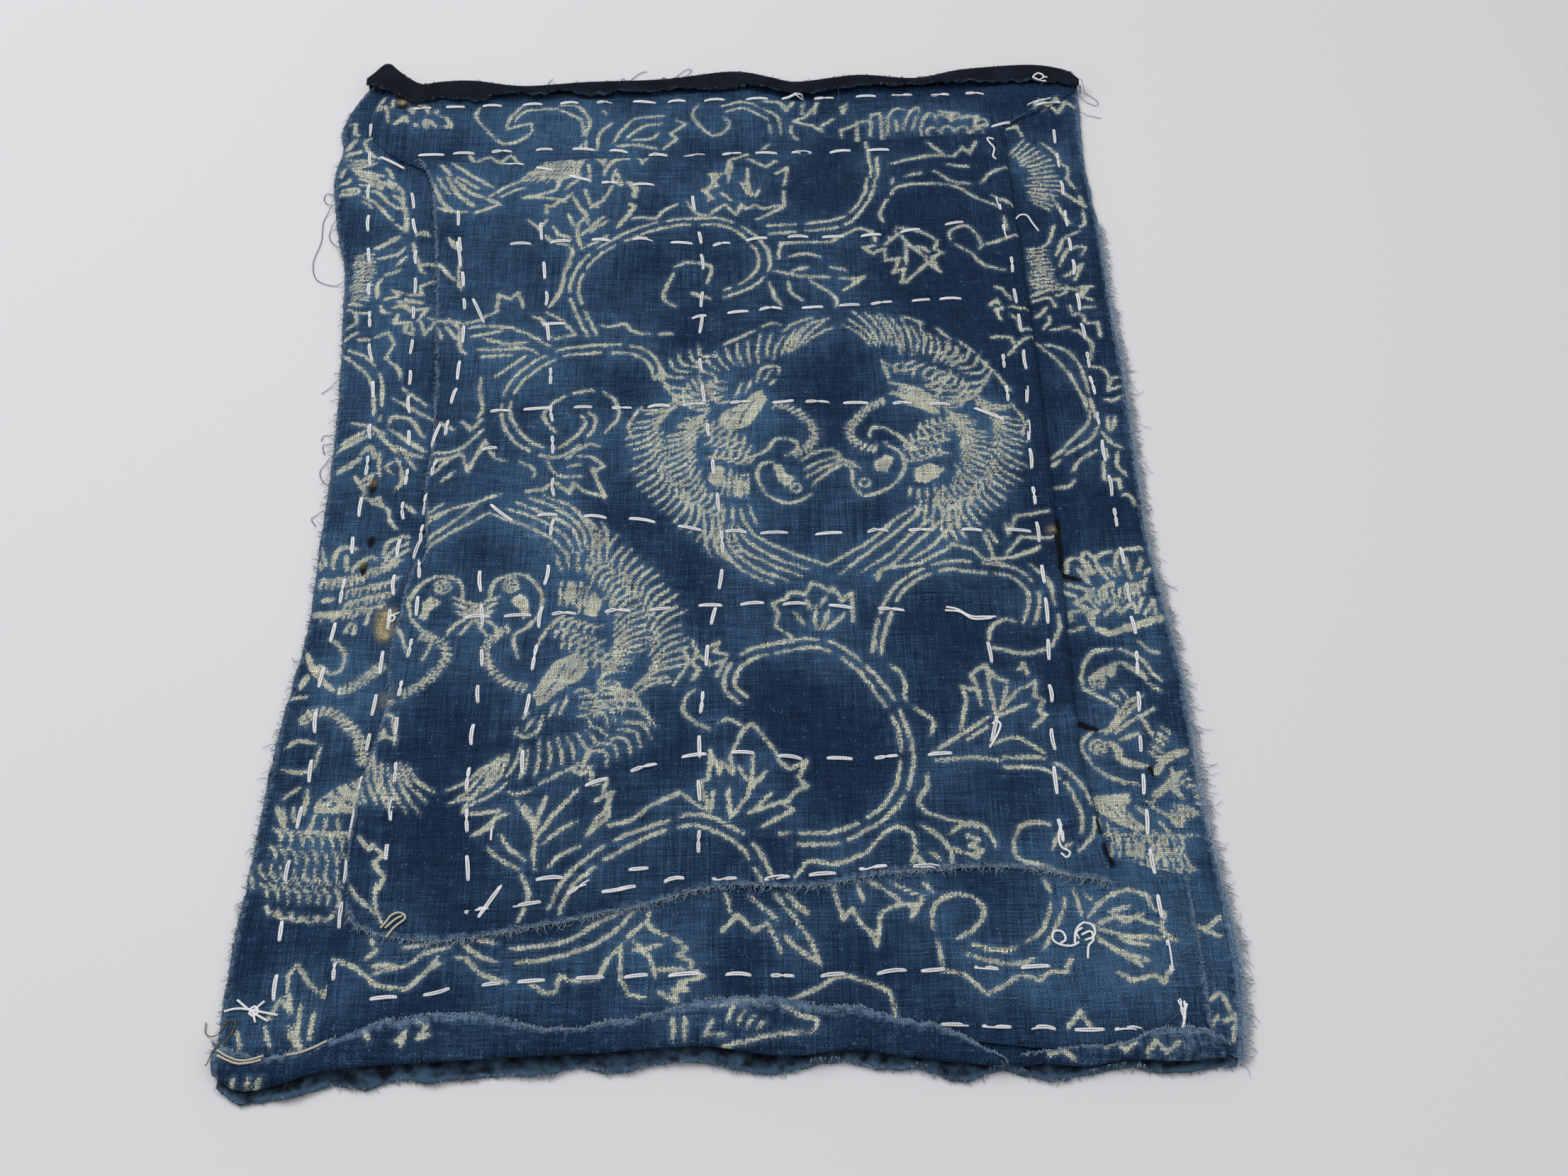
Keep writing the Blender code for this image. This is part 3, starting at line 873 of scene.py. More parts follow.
def roundel(plan, x, y, turn=0.0, size=1.0, left_head=BIG_HEAD, right_head=BIG_HEAD):
    """Two cranes that face each other in a ring."""
    for flip, bird, head in ((1, LEFT_BIRD, left_head), (-1, RIGHT_BIRD, right_head)):
        for chart in (CRANE, bird, head):
            draw(plan, chart, x, y, turn, size, flip)


def dyed_ground():
    """The group for a resist-printed indigo ground. Print is the distance into the ground in mm."""
    group, given, out = new_group(
        "resist print",
        [("Vector", "Vector", None), ("Tone", "Float", 0.5), ("Cell", "Float", 0.5), ("Gap", "Float", 0.0),
         ("Height", "Float", 1.0),
         ("Print", "Float", 4.0), ("Wear", "Float", 0.0), ("Stain", "Float", 0.0), ("Fade", "Float", 0.5),
         ("Deep", "Color", None), ("Middle", "Color", None), ("Resist", "Color", None)],
        [("Color", "Color"), ("Mask", "Float")])
    clouds = noise_of(group, given["Vector"], 30.0, 5.0, 0.6)
    fine_clouds = noise_of(group, given["Vector"], 260.0, 3.0, 0.6)
    streaks = noise_of(group, stretched(group, given["Vector"], 1500.0, 22.0), 1.0, 2.0)
    cross = noise_of(group, stretched(group, given["Vector"], 22.0, 1500.0), 1.0, 2.0)
    light = sum_of(group, "MULTIPLY_ADD", streaks, 0.8, sum_of(group, "MULTIPLY_ADD", clouds, 1.5, -0.6))
    light = sum_of(group, "ADD", light, sum_of(group, "MULTIPLY", cross, 0.6))
    light = sum_of(group, "ADD", light, sum_of(group, "MULTIPLY", fine_clouds, 0.25))
    light = sum_of(group, "ADD", light, sum_of(group, "MULTIPLY_ADD", given["Fade"], 0.95, -0.45))
    ground = mixed(group, step_of(group, light, 0.6, 1.45), given["Deep"], given["Middle"])
    speck = step_of(group, given["Cell"], 0.86, 0.99)
    speck = sum_of(group, "MULTIPLY", speck, step_of(group, fine_clouds, 0.45, 0.65))
    ground = mixed(group, sum_of(group, "MULTIPLY", speck, 0.18), ground, SPECK)
    rough = sum_of(group, "MULTIPLY_ADD", given["Cell"], 0.55, -0.27)
    rough = sum_of(group, "ADD", rough, sum_of(group, "MULTIPLY_ADD",
                                               noise_of(group, given["Vector"], 700.0, 2.0), 1.0, -0.5))
    reach = sum_of(group, "ADD", given["Print"], rough)
    mask = step_of(group, reach, 0.32, -0.3)
    faded = step_of(group, noise_of(group, given["Vector"], 110.0, 3.0), 0.25, 0.6, 0.62, 1.0)
    mask = sum_of(group, "MULTIPLY", mask, faded)
    # The print is thinned in the weave's low gaps so that they show darker: painted shade between the threads.
    painted_gap_shade = sum_of(group, "MULTIPLY_ADD", given["Gap"], -0.5, 1.0)
    mask = sum_of(group, "MULTIPLY", mask, painted_gap_shade)
    halo = step_of(group, reach, 1.7, 0.0, 0.0, 0.26)
    ground = mixed(group, halo, ground, WORN)
    colour = mixed(group, mask, ground, given["Resist"])
    rub = sum_of(group, "ADD", given["Wear"], sum_of(group, "MULTIPLY_ADD",
                                                     noise_of(group, given["Vector"], 480.0, 4.0), 1.4, -0.7))
    colour = mixed(group, step_of(group, rub, 0.35, 1.1, 0.0, 0.85), colour, WORN)
    # Far below 0 the Fade value marks the slits, painted near-black: partly the dark backing seen through the
    # tear, partly painted shade in the gap.
    colour = mixed(group, step_of(group, given["Fade"], -0.1, -1.1), colour, (0.003, 0.004, 0.006, 1))
    stain = sum_of(group, "MULTIPLY", given["Stain"], step_of(
        group, noise_of(group, given["Vector"], 380.0, 4.0), 0.3, 0.6, 0.35, 1.0))
    colour = mixed(group, stain, colour, STAIN)
    # The threads' own uneven tone, times painted shade that darkens the low parts of the weave and lightens its
    # crowns.
    shade = sum_of(group, "MULTIPLY_ADD", given["Tone"], 2.1, -0.2)
    shade = sum_of(group, "MULTIPLY", shade, sum_of(group, "MULTIPLY_ADD", given["Height"], 0.8, 0.6))
    colour = mixed(group, 1.0, colour, wired(group, "ShaderNodeCombineXYZ", shade, shade, shade), "MULTIPLY")
    group.links.new(colour, out["Color"])
    group.links.new(mask, out["Mask"])
    return group


def printed_cotton(name, deep, middle, resist, threads):
    """Indigo cotton with the resist print that the piece's attributes carry."""
    made, tree, shader, vector, weave = new_cloth_material(name, 0.9)
    weave.inputs["Threads"].default_value = threads
    dye = tree.nodes.new("ShaderNodeGroup")
    dye.node_tree = GROUND
    tree.links.new(vector, dye.inputs["Vector"])
    for title in ("Tone", "Cell", "Gap", "Height"):
        tree.links.new(weave.outputs[title], dye.inputs[title])
    for title in ("Print", "Wear", "Stain", "Fade"):
        fact = wired(tree, "ShaderNodeAttribute", attribute_name=title.lower(), out=2)
        tree.links.new(fact, dye.inputs[title])
    for title, colour in (("Deep", deep), ("Middle", middle), ("Resist", resist)):
        dye.inputs[title].default_value = colour
    tree.links.new(dye.outputs["Color"], shader.inputs["Base Color"])
    bump_from(tree, shader, weave.outputs["Height"], 0.00018)
    return made


SPECK = (0.19, 0.28, 0.42, 1)
WORN = (0.12, 0.19, 0.29, 1)
STAIN = (0.36, 0.3, 0.17, 1)
DEEP = (0.006, 0.022, 0.059, 1)
MIDDLE = (0.038, 0.092, 0.172, 1)
RESIST = (0.47, 0.48, 0.385, 1)
GROUND = dyed_ground()
BASE_COTTON = printed_cotton("base cotton", DEEP, MIDDLE, RESIST, 1380.0)

base_print = Plan()
draw(base_print, """
fan 16 0 129,184 135,175 135,162 136,155 | 137,195 145,185 152,172 150,162 146,148
line 144,192 150,186 152,180
line 152,179 155,175 154,169 157,162
zig 150,162 156,155 160,151 158,158
line 146,157 149,150 152,142 158,139 159,150
zig 129,202 134,204 136,197
fan 12 0 131,125 131,100 | 140,126 145,102
line 137,125 142,130 145,140
line 144,121 149,132 156,136
line 145,115 150,125 157,126 155,121
zig 147,109 155,116 151,107
zig 132,95 139,97 141,92
zig 147,102 155,101 151,99 157,95
zig 143,222 147,214 150,219 154,212 158,220 162,216
line 131,71 141,57 147,42 149,32
line 135,70 142,67 146,62 149,53 150,42 152,27
line 152,26 147,18 137,11
line 149,31 147,26 137,15
line 137,14 131,9
line 135,8 131,5
line 147,78 150,77 154,70 153,63 152,59
line 152,58 157,56 159,50 158,44
line 159,50 164,52
line 158,44 164,47
line 156,40 159,39 164,42
line 156,31 156,23
line 159,31 158,24
line 153,23 156,17 160,14
line 153,15 154,9
line 158,12 157,5 160,0
zig 152,7 151,-2 157,-2 157,-7
line 157,-10 160,-10 162,-15
line 150,13 143,8 139,2
line 139,-2 137,-5 131,-6
line 131,98 140,102
line 142,98 146,100 147,104
zig 152,97 155,101 152,103 158,103
zig 132,86 134,87 137,91
zig 147,92 148,87 151,88
line 152,91 158,91
zig 135,79 137,82 138,86
line 138,78 146,80
zig 152,87 153,82 158,82 158,74
line 1.9 131,-48 132,-43 134,-40 136,-40
line 1.9 140,-48 139,-43 138,-39 140,-37
line 1.9 140,-37 143,-40 146,-38 150,-37
line 1.9 152,-48 151,-43 152,-38 155,-36
line 1.9 155,-36 162,-36
line 1.9 143,-40 144,-45 147,-50
line 1.8 140,-42 142,-48
line 1.9 136,-45 140,-52
line 1.8 147,-44 150,-49
line 1.9 155,-40 155,-45 156,-50
line 1.9 161,-40 159,-47
line 1.9 164,-45 161,-48
line 1.8 149,-52 145,-54 145,-59
line 1.8 158,-52 154,-54 153,-59
line 1.6 139,-55 139,-60
fan 10 1 141,-64 150,-62 160,-58 | 138,-55 145,-53 152,-53 162,-50
line 130,-52 138,-55
line 129,-55 134,-58
zig 138,-64 133,-61 137,-59
zig 131,-69 131,-65 137,-65
line 129,-74 136,-72
line 3 139,-71 139,-66 142,-65
line 3 140,-73 145,-75 150,-73
line 3.4 150,-73 157,-71 166,-68
zig 144,-67 149,-62 150,-66 155,-61 156,-66 159,-59
zig 159,-67 163,-60 163,-67
line 145,-82 138,-83 134,-88 132,-94
line 132,-94 133,-99 137,-102 144,-107
line 148,-82 155,-86 159,-93 162,-96
patch 135,-94 140,-90 147,-87 144,-95 141,-93 137,-95
line 2.6 148,-88 153,-91 156,-95
ring 1.2 138,-96
ring 2.8 138,-96
line 156,-96 161,-101
line 155,-78 158,-82 162,-84
line 143,-101 145,-104
line 146,-99 148,-103
line 135,-117 139,-117 143,-112 148,-105
line 148,-105 154,-102
line 138,-119 145,-112 152,-105
line 142,-118 147,-114 150,-112
line 143,-121 151,-118
zig 157,-108 152,-111 155,-119
line 133,-118 130,-121 129,-125 132,-131
line 132,-131 136,-135 142,-138 148,-139
ring 1.2 135,-124
ring 3 135,-124
line 2.8 139,-122 142,-125 143,-130 152,-132
barbs 5 4 154,-129 158,-121 161,-116
line 3 154,-135 159,-129 167,-126
line 160,-133 161,-140
line 153,-145 158,-141
patch 130,-144 144,-143 144,-147 141,-147 145,-153 149,-157 145,-158 139,-155 135,-152 131,-149
cut 0.8 139,-147 143,-153 145,-156
cut 0.7 135,-147 140,-153
cut 0.7 131,-147 135,-147
line 2.2 152,-144 155,-142 159,-140 163,-145
fan 6 0.5 160,-139 166,-142 167,-147 | 165,-135 169,-141 170,-148
line 1.6 146,-148 149,-151
line 1.6 150,-146 153,-150
fan 9 0.6 132,-151 138,-157 144,-161 150,-157 153,-149 | 131,-158 136,-164 143,-167 153,-165 159,-156
fan 6 0.6 156,-150 161,-147 164,-149 | 160,-158 164,-154 168,-152
fan 10 0 136,-160 160,-159 | 135,-168 160,-168
fan 10 -1.2 137,-169 160,-166 | 139,-178 164,-174
line 1 131,-159 166,-160
line 1 139,-167 159,-167
line 152,-146 160,-137 165,-134
zig 160,-194 168,-198 163,-196 169,-191
zig 161,-221 165,-218 168,-225
line 160,-231 163,-226
zig 165,-228 169,-226 167,-235
zig -171,210 -168,211 -168,204 -166,203
line 1.8 -160,202 -163,199 -161,194 -158,190 -154,188
line 2.2 -167,200 -171,193
line 2.4 -171,190 -164,193
line 1.4 -170,187 -158,187
line 1.4 -169,184 -158,186
line 1.4 -169,182 -162,183 -156,185
line 2.2 -167,181 -160,179 -152,176
line 1.8 -165,178 -158,176 -154,174
line 2.2 -170,181 -171,176
line 2 -171,171 -167,173 -167,175
line 1.6 -163,175 -156,172 -151,169
line 1.6 -151,181 -147,174
line 1.6 -147,172 -143,166
line 1.6 -162,171 -155,170 -151,167
line 1.6 -154,173 -149,170 -146,166
line 1.8 -159,167 -154,166 -149,160 -145,156 -140,154
line 1.8 -159,163 -153,158 -148,151 -143,145 -138,140
line 1.6 -159,160 -155,156
line 2 -146,163 -142,159 -140,154 -139,148 -138,141
line 1.6 -150,175 -148,171 -143,167 -141,156
line 1.8 -170,167 -163,168 -162,165
line 2 -170,164 -163,165
fan 13 0.9 -160,126 -160,100 | -150,128 -149,100
line 2.4 -151,131 -147,133 -141,138
line 1.8 -149,125 -144,126 -140,128 -138,132
line 1.6 -141,120 -139,123 -137,126
line 2 -145,115 -142,116 -139,118
line 2 -146,113 -148,109 -147,101
line 2.6 -134,139 -131,140 -128,138
line 1.8 -135,135 -133,127 -131,121 -129,116 -125,117
line 1.5 -131,121 -126,121 -120,119
line 2 -159,98 -153,97
zig -144,100 -138,102 -141,106 -136,104
zig -134,103 -128,103 -130,108 -124,111
line 1.8 -145,97 -144,93 -141,92
line 1.8 -140,95 -136,96 -132,93
line 1.6 -138,99 -133,96
line 2.2 -135,100 -127,98
line 1.8 -132,94 -124,95
line 1.8 -128,89 -125,94
zig -139,87 -137,91 -138,86 -132,87 -134,82 -130,80 -131,86
zig -128,88 -126,85 -125,80 -123,83 -121,88 -124,89
zig -159,95 -156,93 -151,93
zig -156,93 -154,88 -155,86 -158,84
line 1.6 -159,77 -153,82
line 1.8 -153,78 -148,78
zig -145,79 -140,81 -137,75 -140,67
line -140,67 -134,61 -132,52 -127,47 -119,40
line -159,70 -150,62 -145,55 -142,40 -142,34
line -156,72 -147,67 -141,57 -139,42 -139,32
line -150,32 -142,30 -136,26
line 1.8 -155,17 -148,22 -141,27
line 1.8 -153,21 -144,28
line 1.5 -132,36 -134,35 -135,31
line -135,45 -127,40 -116,32
line -135,35 -127,34 -120,24
line 1.8 -135,29 -128,24 -124,21 -119,17
line 1.8 -139,26 -135,22 -130,16
line 1.6 -131,20 -125,16 -119,14
line 1.6 -128,17 -122,8
line 2.6 -153,7 -149,10 -145,14
line 1.8 -145,16 -141,20 -139,14
line 1.4 -132,12 -134,9 -131,6
line -137,17 -137,10 -136,5
line 1.8 -130,14 -128,9 -127,3 -129,-2
zig -146,5 -144,2 -139,6 -139,2 -143,0 -141,-3
zig -142,-5 -138,-7 -135,-6 -134,-10 -131,-12 -130,-17 -127,-21
line 1.6 -139,-7 -136,-9 -133,-9
line -125,-9 -120,-14
line 1.9 -149,-41 -149,-34 -146,-30 -142,-31 -136,-33
line 1.8 -145,-34 -144,-41
line 1.9 -142,-42 -140,-38 -135,-35 -133,-37
line 1.6 -155,-30 -152,-39
line 1.6 -157,-34 -154,-40
line 1.8 -131,-35 -129,-28 -124,-25 -121,-26
line 1.6 -130,-38 -127,-31 -121,-28
line 1.6 -129,-41 -126,-35 -120,-31
fan 8 1.2 -153,-50 -147,-50 -141,-49 -137,-47 | -151,-45 -145,-44 -140,-43 -135,-42
fan 7 1.2 -138,-46 -132,-44 -126,-40 | -136,-41 -129,-39 -123,-36
fan 8 1.2 -143,-54 -136,-53 -126,-48 | -140,-49 -133,-48 -123,-44
fan 8 1.2 -143,-59 -136,-58 -127,-54 | -140,-55 -133,-53 -124,-50
fan 5 1 -141,-63 -136,-62 -130,-60 | -139,-59 -133,-58 -127,-56
line 2 -154,-45 -150,-46
line 2.4 -152,-55 -148,-54
line 3 -155,-61 -147,-61 -142,-60
fan 3 0 -151,-65 -143,-64 | -150,-61 -143,-61
zig -139,-63 -136,-58 -133,-59 -134,-66
zig -141,-69 -140,-66 -138,-66 -138,-70
line -147,-72 -142,-76 -140,-82 -141,-87
line -141,-87 -145,-88 -149,-84
line 2.6 -154,-79 -151,-86 -147,-91 -143,-95
barbs 11 3.6 -141,-96 -134,-93 -125,-83
line 2.4 -153,-89 -155,-94
line -158,-98 -152,-98
barbs 18 3.6 -153,-110 -150,-105 -146,-104 -140,-106 -131,-116 -128,-127
line -157,-119 -153,-116 -147,-117
line -145,-118 -146,-127 -152,-129 -157,-128
patch -143,-141 -137,-136 -128,-131 -128,-146 -144,-146
cut 1.5 -137,-137 -135,-139
cut 1.5 -133,-134 -131,-136
cut 1.5 -141,-141 -139,-140
cut 1.5 -138,-143 -136,-142
cut 1.5 -133,-141 -131,-142
line -155,-140 -150,-135
line -155,-143 -153,-149
line -151,-143 -150,-149
line -147,-136 -147,-146
line 1.6 -157,-143 -155,-148 -152,-153
line 1.6 -147,-153 -138,-154 -129,-154
line 1.6 -143,-147 -144,-153
line 1.6 -139,-148 -139,-153
line 1.6 -135,-148 -134,-153
fan 8 1 -157,-151 -131,-155 | -153,-158 -128,-161
fan 8 1 -158,-158 -132,-161 | -154,-165 -129,-168
fan 8 -1 -160,-165 -133,-168 | -156,-172 -130,-175
fan 8 1 -159,-172 -133,-175 | -155,-179 -131,-182
arches 5 6 2.5 -133,-184 -142,-185 -155,-181
line -165,-166 -161,-174
zig -149,-222 -146,-215 -142,-220 -145,-207 -142,-203 -137,-210 -131,-215 -131,-210 -128,-220 -129,-225 -120,-226
line -139,-217 -139,-226 -137,-234
line -134,-220 -135,-230
line -142,-225 -139,-232
line -150,-225 -147,-232
line -159,-226 -157,-232
""")
flap_print = Plan()
draw(flap_print, """
line 19,-221 25,-225 31,-227 30,-231
line 30,-231 19,-232 8,-234 0,-235
fan 4 0.5 2,-228 11,-231 | 4,-222 15,-227
line -3,-222 6,-220 14,-221
line -16,-225 -16,-233
line -12,-225 -12,-233
zig -3,-227 -6,-232 1,-232
line -117,-227 -114,-232
zig -106,-232 -103,-229 -104,-233
zig -100,-225 -96,-227 -99,-231 -95,-230
line 1.6 -157,-243 -158,-246
line 1.6 -152,-243 -153,-247
line 1.6 -148,-243 -150,-246
zig 124,-238 128,-236 131,-239 134,-236
zig 138,-240 141,-236 144,-240 148,-237
zig 106,-240 110,-238 114,-241
""")

base = Weaving()
foot = np.array(HEM_FOLD + HEM_RIGHT, float) + (0, 1.6)
length = float(np.linalg.norm(np.diff(foot, axis=0), axis=1).sum())
across = graded(length, [(0, 50, 1.05), (50, length - 46, 1.15), (length - 46, length, 1.05)], 1.1)
up = graded(481, [(0, 481, 1.05)], 1.0)
plan = spread(smooth_line(foot, 2), smooth_line([(x, y - 4.6) for x, y in TOP_EDGE], 2),
              raw_edge([tuple(foot[0])] + LEFT_EDGE[1:-2] + [(-168, 228), (-165, 234.4)], 0.6, 21),
              raw_edge([tuple(foot[-1])] + RIGHT_EDGE[1:-1] + [(165, 228)], 0.7, 23), across, up)
rim = plan[0]
fine = np.arange(len(across))
middle = (rim[:, 0] > -116) & (rim[:, 0] < 122)
kept = fine[~middle | (fine % 16 == 0)]


def base_height(points, left, right):
    """z of the base cloth, which sinks to the surface at its sides."""
    out = np.minimum(left, right)
    flat = BASE_Z + relief(points[:, 0], points[:, 1])
    return 0.75 + (flat - 0.75) * ease(out, -3.5, 6)


width_at = np.linalg.norm(plan[:, -1] - plan[:, 0], axis=1)
main_rows = []
for number, points in enumerate(plan):
    keep = fine if number < 18 else kept
    inward = across * width_at[number]
    z = base_height(points, inward, inward[-1] - inward)
    main_rows.append(base.row(np.column_stack([points, z])[keep], keep))
rim_z = base_height(rim, across * length, (1 - across) * length)


def turned_foot(columns, edge, height, bulge):
    """Carries the foot's rim under, round and over the front to its raw edge, and back outside."""
    x, y, low = rim[columns, 0], rim[columns, 1], rim_z[columns]
    width = np.maximum(1.2, level(edge, x) - y + 0.8 * cloudy(x, 0, 2.4, 61))
    high = height(x, y)
    path = []
    for angle in np.linspace(0, np.pi, 5)[1:]:
        r = (high - low) / 2
        path.append((-r * np.sin(angle), low + r * (1 - np.cos(angle)), 0.0))
    curl = 0.7 + 0.8 * cloudy(x, 0, 12, 65)
    path.append((width * 0.5, high, 0.0))
    path.append((width, high + curl, 0.0))
    for part in np.linspace(1, 0, 12):
        swell = bulge(x) * np.sin(np.pi * min(1, part + 0.15)) + 0.35 * cloudy(x, part * 7, 7, 63)
        path.append((width * part, high + CLOTH + swell + curl * part**3, 1 + part))
    r = (high + CLOTH - low + CLOTH) / 2
    for angle in np.linspace(np.pi, 0, 9)[1:]:
        path.append((-r * np.sin(angle), low - CLOTH + r * (1 - np.cos(angle)), 1.0))
    path.append((4.0, low - CLOTH, 0.0))
    rows = []
    for back, z, turned in path:
        points = np.column_stack([x, y + back, np.broadcast_to(z, len(x))])
        rows.append(base.row(points, columns, turned))
    first = (columns, main_rows[0][1][columns])
    for low_row, high_row in zip(rows[::-1], rows[::-1][1:] + [first]):
        base.knit(low_row, high_row)


def hem_height(x, y):
    """z of the turned-up foot, which rises over the lower band from the left end on."""
    on_band = ease(x, -136, -126)
    return BASE_Z + 0.7 + relief(x, y) + (HEM_Z - BASE_Z - 0.9) * on_band * (1 - 0.5 * ease(x, 74, 92))


for low_row, high_row in zip(main_rows, main_rows[1:]):
    base.knit(low_row, high_row)
turned_foot(fine[rim[:, 0] < 92], HEM_EDGE, hem_height, lambda x: 0.6 + 1.7 * (1 - ease(x, -148, -126)))
turned_foot(fine[(rim[:, 0] > 97) & (rim[:, 0] < 164)], ROLL_EDGE, lambda x, y: BASE_Z + 2.4 + relief(x, y),
            lambda x: 0.5 + (1.2 + 1.1 * cloudy(x, 0, 4.5, 67)) * ease(x, 124, 136))
base_cloth = base.make("base_cotton", BASE_COTTON)
points, turned = base.points[0], np.concatenate(base.facts)
x, y = points[:, 0], points[:, 1]
on_flap = turned > 0.5
ink = np.where(on_flap, flap_print.at(x, y), base_print.at(x, y))
side = np.minimum(x - np.interp(y, [p[1] for p in LEFT_EDGE], [p[0] for p in LEFT_EDGE]),
                  np.interp(y, [p[1] for p in RIGHT_EDGE], [p[0] for p in RIGHT_EDGE]) - x)
wear = (0.75 + 0.25 * (x > 0)) * (1 - ease(side, 0.3, 4.5)) + 0.3 * on_flap + 0.75 * ease(turned, 1.6, 2.0)
wear = wear + 0.35 * ease(x, 128, 150) * (1 - ease(y, -210, -150))
note_dye(base, base_cloth, ink, wear, spots(x, y, STAINED), faded(base_print, x, y))
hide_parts("base_cloth")
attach(base_cloth, "root")

# Top band
# A long patch of the same print along the top, its upper edge caught in the backing's turned edge.
# Its lower edge lies under the centre cloth.

PATCH_Z = 3.3
BAND_FOOT = [(-142, 183), (-120, 173), (-70, 172), (-6, 175), (58, 181), (120, 187)]
BAND_LEFT = [(-142, 183), (-152, 191), (-161, 205), (-160, 222), (-156, 233)]
BAND_RIGHT = [(120, 187), (131, 204), (150, 216), (164, 227)]


def lay(name, sides, step, height, drop, material, seed, raw=(0.5, 0.5, 0.5, 0.5)):
    """A cloth between its foot, top, left and right edges that sinks by drop (foot, top, left, right)
    mm onto what it lies on. Gives (weaving, object, points, distance from each edge)."""
    edges = enumerate(zip(sides, raw))
    foot, top, left, right = [raw_edge(side, rough, seed + k) for k, (side, rough) in edges]
    lengths = [float(np.linalg.norm(np.diff(side, axis=0), axis=1).sum()) for side in (foot, left)]
    across, up = [graded(size, [(0, size, step)], step) for size in lengths]
    plan = spread(foot, top, left, right, across, up)
    u, v = np.meshgrid(across * lengths[0], up * lengths[1])
    away = [v, v.max() - v, u, u.max() - u]
    z = height(plan[..., 0], plan[..., 1], away)
    for fall, far in zip(drop, away):
        z = z - fall * (1 - ease(far, -0.8, 2.2))
    weaving = Weaving()
    columns = np.arange(len(across))
    rows = [weaving.row(np.column_stack([p, h]), columns) for p, h in zip(plan, z)]
    for low_row, high_row in zip(rows, rows[1:]):
        weaving.knit(low_row, high_row)
    made = weaving.make(name, material)
    return weaving, made, weaving.points[0], [far.ravel() for far in away]


def patch_height(x, y, away):
    """z of a band on the base cloth, the same at any distance from its edges."""
    return PATCH_Z + relief(x, y)


BAND_COTTON = printed_cotton("band cotton", DEEP, MIDDLE, RESIST, 1400.0)
band_print = Plan()
draw(band_print, """
line -112,220 -113,212 -109,206 -104,199
line -104,199 -99,195 -92,197 -87,202
line -87,202 -88,207 -93,206 -99,204
line -99,206 -96,214 -92,220
line -95,209 -92,215 -86,217 -76,217
line -76,217 -67,211 -64,206 -64,195 -65,190
line -75,220 -67,219 -61,209 -62,200 -62,190
line -57,190 -56,200 -52,206
line -57,196 -55,202 -50,207
line -50,194 -46,202 -40,210 -27,212
line -44,197 -36,205 -27,207
line -41,196 -32,197 -29,201
line -48,192 -40,193 -30,191
line -53,212 -55,216
zig -21,209 -17,206 -24,200 -21,196 -27,191
line -11,221 -14,212 -10,204 -5,198
line -5,198 0,200 3,206 0,210
vine 0,216 9,219 17,214 23,209 24,198
line 21,192 16,187 8,186 0,187
zig 19,222 26,221 29,214 32,221
zig 32,207 41,204 45,200 45,204 51,209
line 32,207 38,211 44,221
line 36,212 37,221
line 42,212 43,221
zig 54,217 55,212 57,220
line 31,204 31,199 34,194
zig 54,196 54,201 60,204
zig 61,192 61,206 66,207
zig 67,197 68,211 72,212 72,190 76,180
line 75,197 76,210 80,215 83,214
line 79,199 79,207
line 82,200 85,211 89,216 90,212
line 86,200 89,210
line 88,192 87,184
line 90,196 91,206 95,212 98,208
arches 4 6 5 98,205 106,208 112,206 120,202
arches 4 6 5 93,196 101,198 109,198 118,195
arches 4 5 4 92,190 100,190 108,190 116,190
zig 99,213 106,212 104,206 108,209
zig 111,209 117,210 115,202 119,204
zig 143,214 146,220 150,215 154,222 156,216 161,221
zig -159,218 -155,221 -154,216 -153,210
line 1.6 -152,225 -152,219
line 1.6 -156,226 -159,220
line 2.2 -144,219 -142,215
line 2.2 -140,221 -137,220 -135,215
line 2.6 -150,208 -147,211 -146,213 -144,209
line 2 -141,208 -139,206
line 2.4 -136,211 -135,205
line 2 -135,211 -131,206
line 2 -129,213 -126,211 -124,206 -128,206
line 1.8 -132,218 -131,214
zig -115,190 -112,183 -105,187 -100,183 -96,188 -92,183
""")
weaving, top_band, points, away = lay(
    "top_band_cotton", (BAND_FOOT, [(x, y - 5) for x, y in TOP_EDGE[3:-1]], BAND_LEFT, BAND_RIGHT), 1.05,
    patch_height, (0.6, 0.0, 0.7, 1.1), BAND_COTTON, 71)
x, y = points[:, 0], points[:, 1]
wear = 0.5 * (1 - ease(away[2], 0.3, 2.5))
note_dye(weaving, top_band, band_print.at(x, y), wear, spots(x, y, STAINED), faded(band_print, x, y))
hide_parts("top_band")
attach(top_band, "root")

# Lower band
# A patch of looser, bluer print along the foot. Its raw lower edge is caught by the turned-up hem
# and its upper edge lies under the centre cloth.

